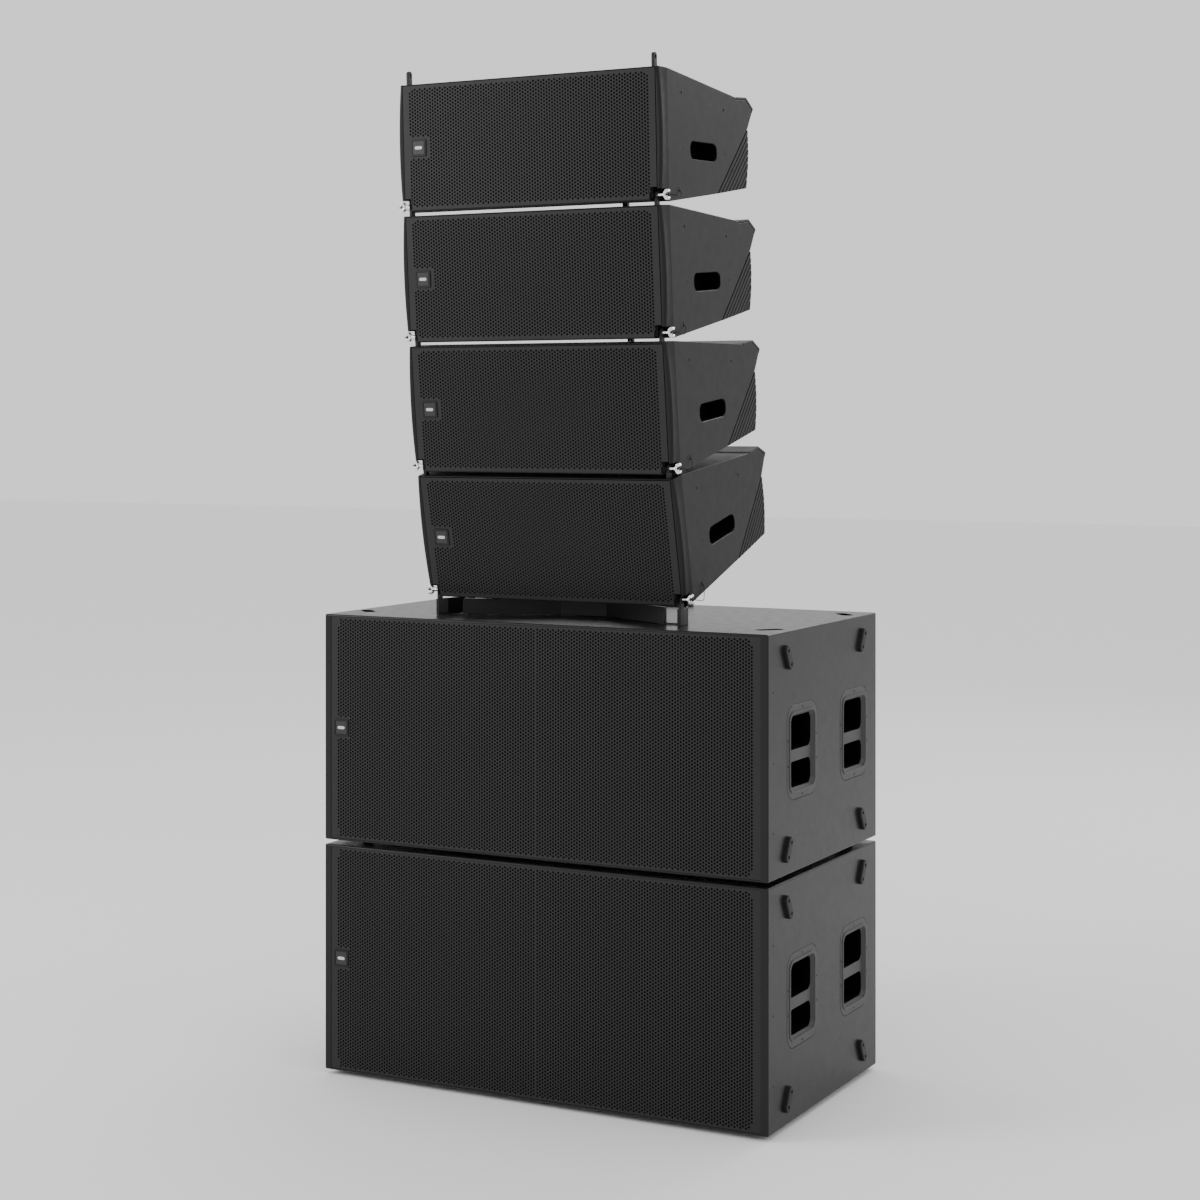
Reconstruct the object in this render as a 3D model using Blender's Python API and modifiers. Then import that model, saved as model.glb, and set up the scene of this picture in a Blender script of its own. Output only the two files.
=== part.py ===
"""Ground-stacked line array: four splayed cabinets on a stacking frame and two dual 18-inch subwoofers.

Sizes are in metres. X runs across the front, -Y faces the audience and +Z is up. The origin is
on the floor, under the middle of the whole stack.
"""

import math

import bmesh
import bpy
from mathutils import Matrix, Vector

GAP = 0.0004  # clearance between neighbouring pieces
WOOFER_FLANGE = 0.004

# Subwoofers
SUB_WIDTH = 1.242
SUB_DEPTH = 0.700
SUB_HEIGHT = 0.5795
SUB_WALL = 0.018
SUB_EDGE = 0.019  # front edge of the side panels beside the grille
SUB_LIP = 0.0055  # front edge of the lid and the floor above and below the grille
SUB_GRILLE = (0.001, 0.004)  # front and back of the grille, behind the front edge
SUB_CORNER = 0.008
FOOT_HEIGHT = 0.012
SUB_CENTRE_Y = 0.02575
SUB_FRONT = SUB_CENTRE_Y - SUB_DEPTH / 2
SUB_REAR = SUB_CENTRE_Y + SUB_DEPTH / 2
SUB_SIDE = SUB_WIDTH / 2
STACK_TOP = 2 * (FOOT_HEIGHT + SUB_HEIGHT)
SUB_WOOFER_X = 0.300
SUB_WOOFER_RADIUS = 0.232
SUB_BAFFLE = 0.040  # from the front edge back to the baffle
FOOT_LENGTH = 0.065
FOOT_WIDTH = 0.025
LID_CUP_DEPTH = 0.005  # recess in the lid that takes the foot above
FOOT_PLACES = ((0.570, -0.225), (0.570, 0.255))  # across and behind the middle
SKID_LENGTH = 0.064
SKID_WIDTH = 0.025
SKID_HEIGHT = 0.010
SKID_LEAN = math.radians(28)
SKID_Y = 0.240
SKID_INSET = 0.062  # from the cabinet's top and bottom

# Handle plates of the subwoofers
PLATE_WIDTH = 0.187
PLATE_HEIGHT = 0.226
PLATE_DROP = 0.003  # plate centre below the middle of the side
PLATE_CORNER = 0.040
PLATE_THICKNESS = 0.004
PLATE_PROUD = 0.0005
PLATE_PLACES = {"front": -0.145, "rear": 0.192}
POCKET_WIDTH = 0.130
POCKET_CORNER = 0.016
POCKET_DEPTH = 0.070
POCKET_SPANS = ((0.0015, 0.082), (-0.0885, -0.027))  # upper and lower, from the middle of the side
CUP_HALF = (0.071, 0.106)
CUP_WALL = 0.005

# Array cabinets, each in the frame of its lower front rigging pin
PITCH = 0.327  # pin to pin
TILTS = {1: 2.5, 2: 4.5, 3: 6.5, 4: 12.5}  # degrees, nose down
PIN_4 = (SUB_CENTRE_Y - 0.2373, STACK_TOP + 0.0648)
WEDGE = math.radians(6)
FRONT = -0.0175
FRONT_LOW = -0.014
FRONT_HIGH = 0.3033
MIDDLE = (FRONT_LOW + FRONT_HIGH) / 2
SIDE = 0.360
WALL = 0.015
TOP_END = 0.449  # where the sloped top ends
SLOPE_START = 0.040
LIP = ((0.4915, 0.2665), (0.440, 0.2625))  # raised black bumper across the rear edge
RUMP = ((0.5345, 0.2405), (0.498, 0.188))
BELLY_END = (0.309, 0.0145)
FIN_FOOT = (0.484, 0.035)
FIN_BULGE = 0.008
FIN_COUNT = 8
GROOVE_WIDTH = 0.003
GROOVE_DEPTH = 0.006
CHEEK_END = 0.3605
CHEEK_MIDDLE = 0.3675
CHEEK_BACK = 0.032
GRILLE_HALF = 0.3515
GRILLE_THICKNESS = 0.002
GRILLE_LOW = -0.0105
GRILLE_HIGH = 0.2998
BAFFLE_FRONT = 0.010
BAFFLE_BACK = 0.028
WOOFER_X = 0.200
WOOFER_RADIUS = 0.122
HORN_HALF = (0.070, 0.140)
HANDLE_AT = (0.230, 0.115)
HANDLE_SIZE = (0.150, 0.044)
HANDLE_DEPTH = 0.050
HANDLE_CORNER = 0.0165
AMP_HALF = 0.150

# Rigging of the array cabinets
LINK_X = 0.3425
LINK_THICK = 0.008
LINK_WIDE = 0.016
LINK_LOW = 0.205
LINK_HIGH = 0.338
LINK_CHANNEL = 0.172
NOTCH_X = 0.3335
NOTCH_HIGH = 0.0145
NOTCH_BACK = 0.0145
PIN_RADIUS = 0.0048
PIN_HOLE = 0.0053
PIN_INNER = 0.304
PIN_HANDLE_X = 0.3615
PIN_TIP = 0.3725
RAIL_HALF = 0.030
RAIL_FRONT = 0.468
RAIL_BACK = 0.5345
RAIL_LOW = 0.040
RAIL_HIGH = 0.2540
SLOT_HALF = 0.0088
SLOT_FRONT = 0.4945
SLOT_BACK = 0.5265
REAR_LINK_Y = (SLOT_FRONT + SLOT_BACK) / 2
REAR_LINK_HALF = (0.008, 0.006)
REAR_LINK_LENGTH = 0.225
REAR_LINK_ENGAGED = 0.030  # into the cabinet above

# Stacking frame
POST_INNER = 0.3375
POST_Y = (-0.250, -0.205)
POST_HEIGHT = 0.042
TIE_Y = (-0.216, -0.206)  # low tie between each post and the end of the panel
TIE_HEIGHT = 0.004
PANEL_HEIGHT = 0.042
SPINE_HALF = 0.025
SPINE_BACK = 0.325
STRUT_HALF = 0.019
STRUT_TOP = -0.035  # along the upright axis of the lowest cabinet's frame
STRUT_LOW = -0.172
ROD_LOW = -0.115
ROD_HIGH = 0.070


for leftover in list(bpy.data.objects):
    bpy.data.objects.remove(leftover)
PARTS = bpy.data.collections.new("line_array_speaker")
CUTTERS = bpy.data.collections.new("cutters")
for group in (PARTS, CUTTERS):
    bpy.context.scene.collection.children.link(group)


# Materials


def material(name, colour, roughness, metallic=0.0):
    made = bpy.data.materials.new(name)
    made.use_nodes = True
    shader = made.node_tree.nodes["Principled BSDF"]
    shader.inputs["Base Color"].default_value = (*colour, 1.0)
    shader.inputs["Roughness"].default_value = roughness
    shader.inputs["Metallic"].default_value = metallic
    made.diffuse_color = (*colour, 1.0)
    return made


PAINTED_WOOD = ((0.035, 0.035, 0.036), 0.60)
PERFORATED_STEEL = ((0.022, 0.021, 0.021), 0.45, 0.6)
PAPER_CONE = ((0.015, 0.015, 0.015), 0.80)
HORN_PLASTIC = ((0.012, 0.012, 0.012), 0.50)
COATED_ALUMINIUM = ((0.030, 0.030, 0.031), 0.45, 0.7)
HANDLE_PLASTIC = ((0.120, 0.120, 0.122), 0.45)
RIGGING_STEEL = ((0.018, 0.018, 0.018), 0.40, 0.8)
BRIGHT_STEEL = ((0.750, 0.750, 0.760), 0.20, 1.0)


# Shapes


def place(name, mesh, parent=None, look=None):
    """A finished mesh as an object: a part when it has a look, and a cutter when it has none."""
    made = bpy.data.objects.new(name, mesh)
    if look:
        PARTS.objects.link(made)
        mesh.materials.clear()
        mesh.materials.append(material(name, *look))
    else:
        CUTTERS.objects.link(made)
        made.hide_render = True
        made.display_type = "WIRE"
    made.parent = parent
    return made


def mesh_from(name, fill):
    mesh = bpy.data.meshes.new(name)
    bm = bmesh.new()
    fill(bm)
    bm.to_mesh(mesh)
    bm.free()
    return mesh


def box(name, low, high, parent=None, look=None):
    size = [b - a for a, b in zip(low, high)]
    middle = [(a + b) / 2 for a, b in zip(low, high)]
    matrix = Matrix.Translation(middle) @ Matrix.Diagonal((*size, 1.0))
    mesh = mesh_from(name, lambda bm: bmesh.ops.create_cube(bm, size=1.0, matrix=matrix))
    return place(name, mesh, parent, look)


def rod(name, radius, low, high, middle, sides, parent=None, look=None):
    """A round bar along X between two stations, its axis at middle = (y, z)."""
    centre = Matrix.Translation(((low + high) / 2, *middle))
    matrix = centre @ Matrix.Rotation(math.pi / 2, 4, "Y")
    mesh = mesh_from(
        name,
        lambda bm: bmesh.ops.create_cone(
            bm,
            cap_ends=True,
            segments=sides,
            radius1=radius,
            radius2=radius,
            depth=abs(high - low),
            matrix=matrix,
        ),
    )
    return place(name, mesh, parent, look)


AXES = {
    "YZ": Matrix(((0, 0, 1, 0), (1, 0, 0, 0), (0, 1, 0, 0), (0, 0, 0, 1))),
    "XZ": Matrix(((1, 0, 0, 0), (0, 0, -1, 0), (0, 1, 0, 0), (0, 0, 0, 1))),
    "XY": Matrix.Identity(4),
}


def prism(name, outline, low, high, plane, parent=None, look=None):
    """A flat outline, extruded between two stations of the axis that its plane leaves out."""
    curve = bpy.data.curves.new(name, "CURVE")
    curve.dimensions = "2D"
    curve.fill_mode = "BOTH"
    curve.extrude = abs(high - low) / 2
    spline = curve.splines.new("POLY")
    spline.points.add(len(outline) - 1)
    for point, (across, up) in zip(spline.points, outline):
        point.co = (across, up, 0, 1)
    spline.use_cyclic_u = True
    drawn = bpy.data.objects.new(name, curve)
    PARTS.objects.link(drawn)
    graph = bpy.context.evaluated_depsgraph_get()
    mesh = bpy.data.meshes.new_from_object(drawn.evaluated_get(graph))
    bpy.data.objects.remove(drawn)
    bm = bmesh.new()
    bm.from_mesh(mesh)
    bmesh.ops.remove_doubles(bm, verts=bm.verts, dist=0.00001)
    bmesh.ops.dissolve_limit(bm, angle_limit=math.radians(1), verts=bm.verts, edges=bm.edges)
    bmesh.ops.recalc_face_normals(bm, faces=bm.faces)
    shift = [0.0, 0.0, 0.0]
    shift["XYZ".index((set("XYZ") - set(plane)).pop())] = (low + high) / 2
    bmesh.ops.transform(bm, matrix=Matrix.Translation(shift) @ AXES[plane], verts=bm.verts)
    bm.to_mesh(mesh)
    bm.free()
    return place(name, mesh, parent, look)


def rounded(centre, size, radius, steps):
    """The outline of a rectangle with round corners."""
    half = (size[0] / 2 - radius, size[1] / 2 - radius)
    points = []
    for corner, (sx, sy) in enumerate(((1, 1), (-1, 1), (-1, -1), (1, -1))):
        for step in range(steps + 1):
            turn = math.pi / 2 * (corner + step / steps)
            across = centre[0] + sx * half[0] + radius * math.cos(turn)
            points.append((across, centre[1] + sy * half[1] + radius * math.sin(turn)))
    return points


def turned_outline(outline, centre, angle):
    """The outline swung by an angle about a centre."""
    spin = Matrix.Rotation(angle, 2)
    return [tuple(Vector(centre) + spin @ (Vector(point) - Vector(centre))) for point in outline]


def capsule(centre, length, width, lean, steps=4):
    """A long rounded pad; its long side leans away from upright by the given angle."""
    points = []
    for end, start in ((1, 0.0), (-1, math.pi)):
        for step in range(steps + 1):
            turn = start + math.pi * step / steps
            across = centre[0] + width / 2 * math.cos(turn)
            points.append((across, centre[1] + end * (length - width) / 2 + width / 2 * math.sin(turn)))
    return turned_outline(points, centre, -lean)


def cut(target, cutter):
    combine(target, cutter, "DIFFERENCE")


def join(target, other):
    combine(target, other, "UNION")


def combine(target, other, operation):
    made = target.modifiers.new(other.name, "BOOLEAN")
    made.operation = operation
    made.object = other


def round_edges(target, width, segments):
    made = target.modifiers.new("round_edges", "BEVEL")
    made.width = width
    made.segments = segments
    made.limit_method = "ANGLE"
    made.angle_limit = math.radians(20)


def turned(name, profile, steps, where, parent, look):
    """A profile of (radius, forward) points from its front centre to its back centre, turned about -Y."""
    mesh = bpy.data.meshes.new(name)
    points = [(radius, 0, forward) for radius, forward in profile]
    mesh.from_pydata(points, [(i, i + 1) for i in range(len(points) - 1)], [])
    made = place(name, mesh, parent, look)
    made.location = where
    made.rotation_euler = (math.pi / 2, 0, 0)
    screw = made.modifiers.new("turn", "SCREW")
    screw.steps = steps
    screw.render_steps = steps
    screw.use_merge_vertices = True
    screw.merge_threshold = 0.00001
    screw.use_smooth_shade = True
    return made


def woofer(name, radius, depth, where, parent):
    """A cone driver: dust cap, cone, surround, flange, basket and magnet, as one turned solid."""
    magnet = 0.62 * radius
    profile = (
        (0.0, -0.22 * radius),
        (0.28 * radius, -0.34 * radius),
        (0.78 * radius, -0.04 * radius),
        (0.86 * radius, 0.03 * radius),
        (radius, 0.0),
        (radius, -WOOFER_FLANGE),
        (0.90 * radius, -WOOFER_FLANGE),
        (0.88 * radius, -0.26 * depth),
        (magnet, -0.66 * depth),
        (magnet, -depth),
        (0.0, -depth),
    )
    return turned(name, profile, 16, where, parent, PAPER_CONE)


# Subwoofers


def sub_cabinet(tag, floor):
    """A shell with a grille recess, a baffle, two lid cups, feet, skids and handle pockets."""
    base = floor + FOOT_HEIGHT
    top = base + SUB_HEIGHT
    name = f"sub_{tag}_cabinet"
    shell = box(
        name, (-SUB_SIDE, SUB_FRONT, base), (SUB_SIDE, SUB_REAR, top), look=PAINTED_WOOD
    )
    round_edges(shell, SUB_CORNER, 2)
    baffle = SUB_FRONT + SUB_BAFFLE
    inner = SUB_SIDE - SUB_WALL
    cut(
        shell,
        box(
            name + "_grille_seat",
            (-SUB_SIDE + SUB_EDGE, SUB_FRONT - 0.01, base + SUB_LIP),
            (SUB_SIDE - SUB_EDGE, SUB_FRONT + SUB_GRILLE[1] + GAP, top - SUB_LIP),
        ),
    )
    cut(
        shell,
        box(
            name + "_recess",
            (-SUB_SIDE + SUB_EDGE + 0.001, SUB_FRONT, base + SUB_EDGE),
            (SUB_SIDE - SUB_EDGE - 0.001, baffle, top - SUB_EDGE),
        ),
    )
    cut(
        shell,
        box(
            name + "_inside",
            (-inner, baffle + SUB_WALL, base + SUB_WALL),
            (inner, SUB_REAR - SUB_WALL, top - SUB_WALL),
        ),
    )
    middle = (base + top) / 2
    for side in (-1, 1):
        reach = 0.90 * SUB_WOOFER_RADIUS + 0.001
        hole = turned(
            f"{name}_hole_{side}",
            ((0.0, 0.06), (reach, 0.06), (reach, -0.06), (0.0, -0.06)),
            16,
            (side * SUB_WOOFER_X, baffle + SUB_WALL / 2, middle),
            None,
            None,
        )
        cut(shell, hole)
    for place_name, along in PLATE_PLACES.items():
        sub_handle_seat(shell, f"{name}_{place_name}", SUB_CENTRE_Y + along, middle)
    panel = ((-0.152, base + 0.098), (0.152, top - 0.098))
    cut(
        shell,
        box(
            name + "_rear_opening",
            (panel[0][0], SUB_REAR - 0.030, panel[0][1]),
            (panel[1][0], SUB_REAR + 0.010, panel[1][1]),
        ),
    )
    for across, along in FOOT_PLACES:
        for side in (-1, 1):
            centre = (side * across, SUB_CENTRE_Y + along)
            lean = -side * math.copysign(math.radians(45), along)
            foot = prism(
                f"{name}_foot_{side}_{along}",
                capsule(centre, FOOT_LENGTH, FOOT_WIDTH, lean),
                floor - (LID_CUP_DEPTH - GAP if tag == "upper" else 0),
                base + 0.002,
                "XY",
            )
            join(shell, foot)
            cup = prism(
                f"{name}_cup_{side}_{along}",
                capsule(centre, FOOT_LENGTH + 0.004, FOOT_WIDTH + 0.004, lean),
                top - LID_CUP_DEPTH,
                top + 0.010,
                "XY",
            )
            cut(shell, cup)
            for level in (-1, 1):
                skid_centre = (
                    SUB_CENTRE_Y + math.copysign(SKID_Y, along),
                    middle + level * (SUB_HEIGHT / 2 - SKID_INSET),
                )
                skid_lean = level * math.copysign(SKID_LEAN, along)
                face = side * (SUB_SIDE - 0.002)
                skid = prism(
                    f"{name}_skid_{side}_{along}_{level}",
                    capsule(skid_centre, SKID_LENGTH, SKID_WIDTH, skid_lean),
                    min(face, face + side * (SKID_HEIGHT + 0.002)),
                    max(face, face + side * (SKID_HEIGHT + 0.002)),
                    "YZ",
                )
                join(shell, skid)
    return shell


def sub_handle_seat(shell, name, along, middle):
    """The right side takes a separate handle plate; the left side has its pockets in the panel itself."""
    size = (PLATE_WIDTH + 2 * GAP, PLATE_HEIGHT + 2 * GAP)
    plate = rounded((along, middle - PLATE_DROP), size, PLATE_CORNER, 4)
    seat = PLATE_THICKNESS - PLATE_PROUD + GAP
    cut(shell, prism(name + "_seat", plate, SUB_SIDE - seat, SUB_SIDE + 0.01, "YZ"))
    half = [side + GAP for side in CUP_HALF]
    cut(
        shell,
        box(
            name + "_seat_hole",
            (SUB_SIDE - 0.05, along - half[0], middle - half[1]),
            (SUB_SIDE + 0.01, along + half[0], middle + half[1]),
        ),
    )
    join(
        shell,
        box(
            name + "_cup",
            (-SUB_SIDE + 0.010, along - CUP_HALF[0], middle - CUP_HALF[1]),
            (-SUB_SIDE + POCKET_DEPTH + CUP_WALL, along + CUP_HALF[0], middle + CUP_HALF[1]),
        ),
    )
    for number, (low, high) in enumerate(POCKET_SPANS):
        centre = (along, middle + (low + high) / 2)
        pocket = rounded(centre, (POCKET_WIDTH, high - low), POCKET_CORNER, 3)
        cut(shell, prism(f"{name}_pocket_{number}", pocket, -SUB_SIDE - 0.01, -SUB_SIDE + POCKET_DEPTH, "YZ"))


def sub_handle(tag, place_name, middle):
    """A plate with two hand pockets, let into the right side."""
    name = f"sub_{tag}_handle_right_{place_name}"
    along = SUB_CENTRE_Y + PLATE_PLACES[place_name]
    outer = SUB_SIDE + PLATE_PROUD
    outline = rounded((along, middle - PLATE_DROP), (PLATE_WIDTH, PLATE_HEIGHT), PLATE_CORNER, 4)
    plate = prism(name, outline, outer - PLATE_THICKNESS, outer, "YZ", look=HANDLE_PLASTIC)
    cup = box(
        name + "_cup",
        (SUB_SIDE - POCKET_DEPTH - CUP_WALL, along - CUP_HALF[0], middle - CUP_HALF[1]),
        (outer - 0.002, along + CUP_HALF[0], middle + CUP_HALF[1]),
    )
    join(plate, cup)
    for number, (low, high) in enumerate(POCKET_SPANS):
        centre = (along, middle + (low + high) / 2)
        pocket = rounded(centre, (POCKET_WIDTH, high - low), POCKET_CORNER, 3)
        cut(plate, prism(f"{name}_pocket_{number}", pocket, SUB_SIDE - POCKET_DEPTH, SUB_SIDE + 0.01, "YZ"))


def sub_amplifier(tag, middle):
    """The rear plate with its chassis behind it, inside the cabinet."""
    name = f"sub_{tag}_amplifier"
    high = SUB_HEIGHT / 2 - 0.098 - GAP
    plate = box(
        name,
        (-0.152 + GAP, SUB_REAR - 0.008, middle - high),
        (0.152 - GAP, SUB_REAR - 0.002, middle + high),
        look=COATED_ALUMINIUM,
    )
    chassis = box(
        name + "_chassis",
        (-0.135, SUB_REAR - 0.090, middle - high + 0.02),
        (0.135, SUB_REAR - 0.007, middle + high - 0.02),
    )
    join(plate, chassis)
    for fin in range(7):
        across = -0.108 + 0.036 * fin
        groove = box(
            f"{name}_groove_{fin}",
            (across - 0.011, SUB_REAR - 0.018, middle + 0.020),
            (across + 0.011, SUB_REAR + 0.010, middle + high - 0.030),
        )
        cut(plate, groove)


def subwoofer(tag, floor):
    base = floor + FOOT_HEIGHT
    middle = base + SUB_HEIGHT / 2
    sub_cabinet(tag, floor)
    edge = SUB_EDGE + GAP
    lip = SUB_LIP + GAP
    box(
        f"sub_{tag}_grille",
        (-SUB_SIDE + edge, SUB_FRONT + SUB_GRILLE[0], base + lip),
        (SUB_SIDE - edge, SUB_FRONT + SUB_GRILLE[1], base + SUB_HEIGHT - lip),
        look=PERFORATED_STEEL,
    )
    seat = SUB_FRONT + SUB_BAFFLE - WOOFER_FLANGE - GAP
    for side, word in ((-1, "left"), (1, "right")):
        where = (side * SUB_WOOFER_X, seat, middle)
        woofer(f"sub_{tag}_woofer_{word}", SUB_WOOFER_RADIUS, 0.200, where, None)
    sub_amplifier(tag, middle)
    for place_name in PLATE_PLACES:
        sub_handle(tag, place_name, middle)


# Array cabinets


def slope(along, sign):
    """Height of the sloped top (sign 1) or bottom (sign -1) at a distance behind the pin."""
    return MIDDLE + sign * (MIDDLE - FRONT_LOW - max(along - SLOPE_START, 0) * math.tan(WEDGE))


def side_outline():
    return [
        (FRONT + 0.003, FRONT_LOW),
        (SLOPE_START, FRONT_LOW),
        BELLY_END,
        RUMP[1],
        RUMP[0],
        LIP[0],
        LIP[1],
        (TOP_END - 0.012, slope(TOP_END - 0.012, 1)),
        (SLOPE_START, FRONT_HIGH),
        (FRONT + 0.003, FRONT_HIGH),
    ]


def cheek_outline(steps=8):
    """The front frame's outline: its sides bow outwards between top and bottom."""
    right = []
    for step in range(steps + 1):
        height = FRONT_LOW + (FRONT_HIGH - FRONT_LOW) * step / steps
        bow = 1 - (2 * step / steps - 1) ** 2
        right.append((CHEEK_END + (CHEEK_MIDDLE - CHEEK_END) * bow, height))
    return right + [(-across, height) for across, height in reversed(right)]


def cheek_plan():
    """Seen from above: a rounded front corner, then a slope back to the side panel."""
    corner = 0.006
    right = [(CHEEK_MIDDLE - 0.014, FRONT)]
    for step in range(4):
        turn = math.pi / 2 * step / 3
        right.append((CHEEK_MIDDLE - corner * (1 - math.sin(turn)), FRONT + corner * (1 - math.cos(turn))))
    right += [(SIDE - 0.001, CHEEK_BACK)]
    return right + [(-across, along) for across, along in reversed(right)]


def shifted_rump(distance):
    """The slanted rear line, moved into the cabinet by a distance."""
    start, end = Vector(BELLY_END), Vector(RUMP[1])
    run = (end - start).normalized()
    inward = Vector((-run.y, run.x))
    return start + inward * distance, end + inward * distance, run, inward


def array_cabinet(number, pivot):
    name = f"array_{number}_cabinet"
    shell = prism(name, side_outline(), -SIDE, SIDE, "YZ", pivot, PAINTED_WOOD)
    round_edges(shell, 0.0035, 1)
    front = prism(name + "_front", cheek_outline(), FRONT, CHEEK_BACK, "XZ", pivot)
    plan = prism(name + "_plan", cheek_plan(), FRONT_LOW - 0.01, FRONT_HIGH + 0.01, "XY", pivot)
    combine(front, plan, "INTERSECT")
    join(shell, front)
    cut(
        shell,
        box(
            name + "_grille_seat",
            (-GRILLE_HALF - GAP, FRONT - 0.01, GRILLE_LOW - GAP),
            (GRILLE_HALF + GAP, FRONT + GRILLE_THICKNESS + GAP, GRILLE_HIGH + GAP),
            pivot,
        ),
    )
    cut(
        shell,
        box(
            name + "_recess",
            (-0.3225, FRONT - 0.01, 0.002),
            (0.3225, BAFFLE_FRONT, 0.2885),
            pivot,
        ),
    )
    cut(shell, prism(name + "_inside", inside_outline(), -SIDE + WALL, SIDE - WALL, "YZ", pivot))
    for side in (-1, 1):
        hole = turned(
            f"{name}_hole_{side}",
            ((0.0, 0.04), (0.905 * WOOFER_RADIUS, 0.04), (0.905 * WOOFER_RADIUS, -0.04), (0.0, -0.04)),
            16,
            (side * WOOFER_X, BAFFLE_FRONT, MIDDLE),
            pivot,
            None,
        )
        cut(shell, hole)
        add_handle_pocket(shell, f"{name}_handle_{side}", side, pivot)
        add_link_channel(shell, f"{name}_link_{side}", side, pivot)
    horn = [half - 0.012 for half in HORN_HALF]
    cut(
        shell,
        box(
            name + "_horn_hole",
            (-horn[0], BAFFLE_FRONT - 0.02, MIDDLE - horn[1]),
            (horn[0], BAFFLE_BACK + 0.01, MIDDLE + horn[1]),
            pivot,
        ),
    )
    reach = AMP_HALF + 0.001
    cut(shell, prism(name + "_amp_hole", chassis_outline(0.001), -reach, reach, "YZ", pivot))
    add_rear_rail(shell, name, pivot)


def inside_outline():
    low, high, run, _ = shifted_rump(WALL)
    back = 0.462
    rise = low.y + (back - low.x) * run.y / run.x
    return [
        (BAFFLE_BACK, 0.003),
        (low.x - 0.010, slope(low.x - 0.010, -1) + WALL),
        (low.x, slope(low.x, -1) + WALL),
        (back, rise),
        (back, slope(back, 1) - WALL),
        (BAFFLE_BACK, FRONT_HIGH - WALL - 0.002),
    ]


def chassis_outline(margin):
    """A slab on the inner side of the slanted rear."""
    low, high, run, inward = shifted_rump(0)
    middle = (low + high) / 2
    long_way = run * (0.070 + margin)
    outer = inward * -0.004
    inner = inward * (0.055 + margin)
    corners = (
        middle - long_way + outer,
        middle + long_way + outer,
        middle + long_way + inner,
        middle - long_way + inner,
    )
    return [tuple(corner) for corner in corners]


def add_handle_pocket(shell, name, side, pivot):
    """A hand pocket with its own cup behind the side panel."""
    length, height = HANDLE_SIZE
    cup = rounded(HANDLE_AT, (length + 0.012, height + 0.012), 0.010, 1)
    low, high = sorted((side * (SIDE - HANDLE_DEPTH - 0.006), side * (SIDE - 0.005)))
    join(shell, prism(name + "_cup", cup, low, high, "YZ", pivot))
    pocket = rounded(HANDLE_AT, (length, height), HANDLE_CORNER, 4)
    low, high = sorted((side * (SIDE - HANDLE_DEPTH), side * (SIDE + 0.02)))
    cut(shell, prism(name + "_pocket", pocket, low, high, "YZ", pivot))


def add_link_channel(shell, name, side, pivot):
    """A block in the front corner, with the channel for this cabinet's link and the notch for the pin."""
    low, high = sorted((side * 0.3230, side * (SIDE - 0.004)))
    join(shell, box(name + "_block", (low, BAFFLE_FRONT, 0.000), (high, 0.034, 0.2980), pivot))
    room = LINK_THICK / 2 + GAP
    low, high = sorted((side * (LINK_X - room), side * (LINK_X + room)))
    reach = LINK_WIDE / 2 + GAP
    channel = box(
        name + "_channel", (low, -reach, LINK_CHANNEL), (high, reach, FRONT_HIGH + 0.01), pivot
    )
    cut(shell, channel)
    low, high = sorted((side * NOTCH_X, side * (SIDE + 0.03)))
    notch = box(
        name + "_notch",
        (low, FRONT - 0.01, FRONT_LOW - 0.01),
        (high, NOTCH_BACK, NOTCH_HIGH),
        pivot,
    )
    cut(shell, notch)
    low, high = sorted((side * 0.296, side * NOTCH_X))
    boss = box(
        name + "_boss", (low, FRONT + 0.0035, FRONT_LOW + 0.0005), (high, 0.030, NOTCH_HIGH), pivot
    )
    join(shell, boss)
    low, high = sorted((side * (PIN_INNER - 0.002), side * (NOTCH_X + 0.01)))
    cut(shell, rod(name + "_pin_hole", PIN_HOLE, low, high, (0, 0), 16, pivot))


def add_rear_rail(shell, name, pivot):
    """The upright rail in the middle of the back, open at both ends for the rear links."""
    rail = box(
        name + "_rail",
        (-RAIL_HALF, RAIL_FRONT - 0.004, RAIL_LOW),
        (RAIL_HALF, RAIL_BACK, RAIL_HIGH),
        pivot,
    )
    join(shell, rail)
    cut(
        shell,
        box(
            name + "_slot",
            (-SLOT_HALF, SLOT_FRONT, RAIL_LOW - 0.02),
            (SLOT_HALF, SLOT_BACK, RAIL_HIGH + 0.02),
            pivot,
        ),
    )


def array_grille(number, pivot):
    name = f"array_{number}_grille"
    back = FRONT + GRILLE_THICKNESS
    outline = [
        (GRILLE_HALF, GRILLE_HIGH),
        (GRILLE_HALF, NOTCH_HIGH + 0.004),
        (NOTCH_X - 0.002, NOTCH_HIGH + 0.004),
        (NOTCH_X - 0.002, GRILLE_LOW),
    ]
    outline += [(-across, height) for across, height in reversed(outline)]
    prism(name, outline, FRONT, back, "XZ", pivot, PERFORATED_STEEL)


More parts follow.
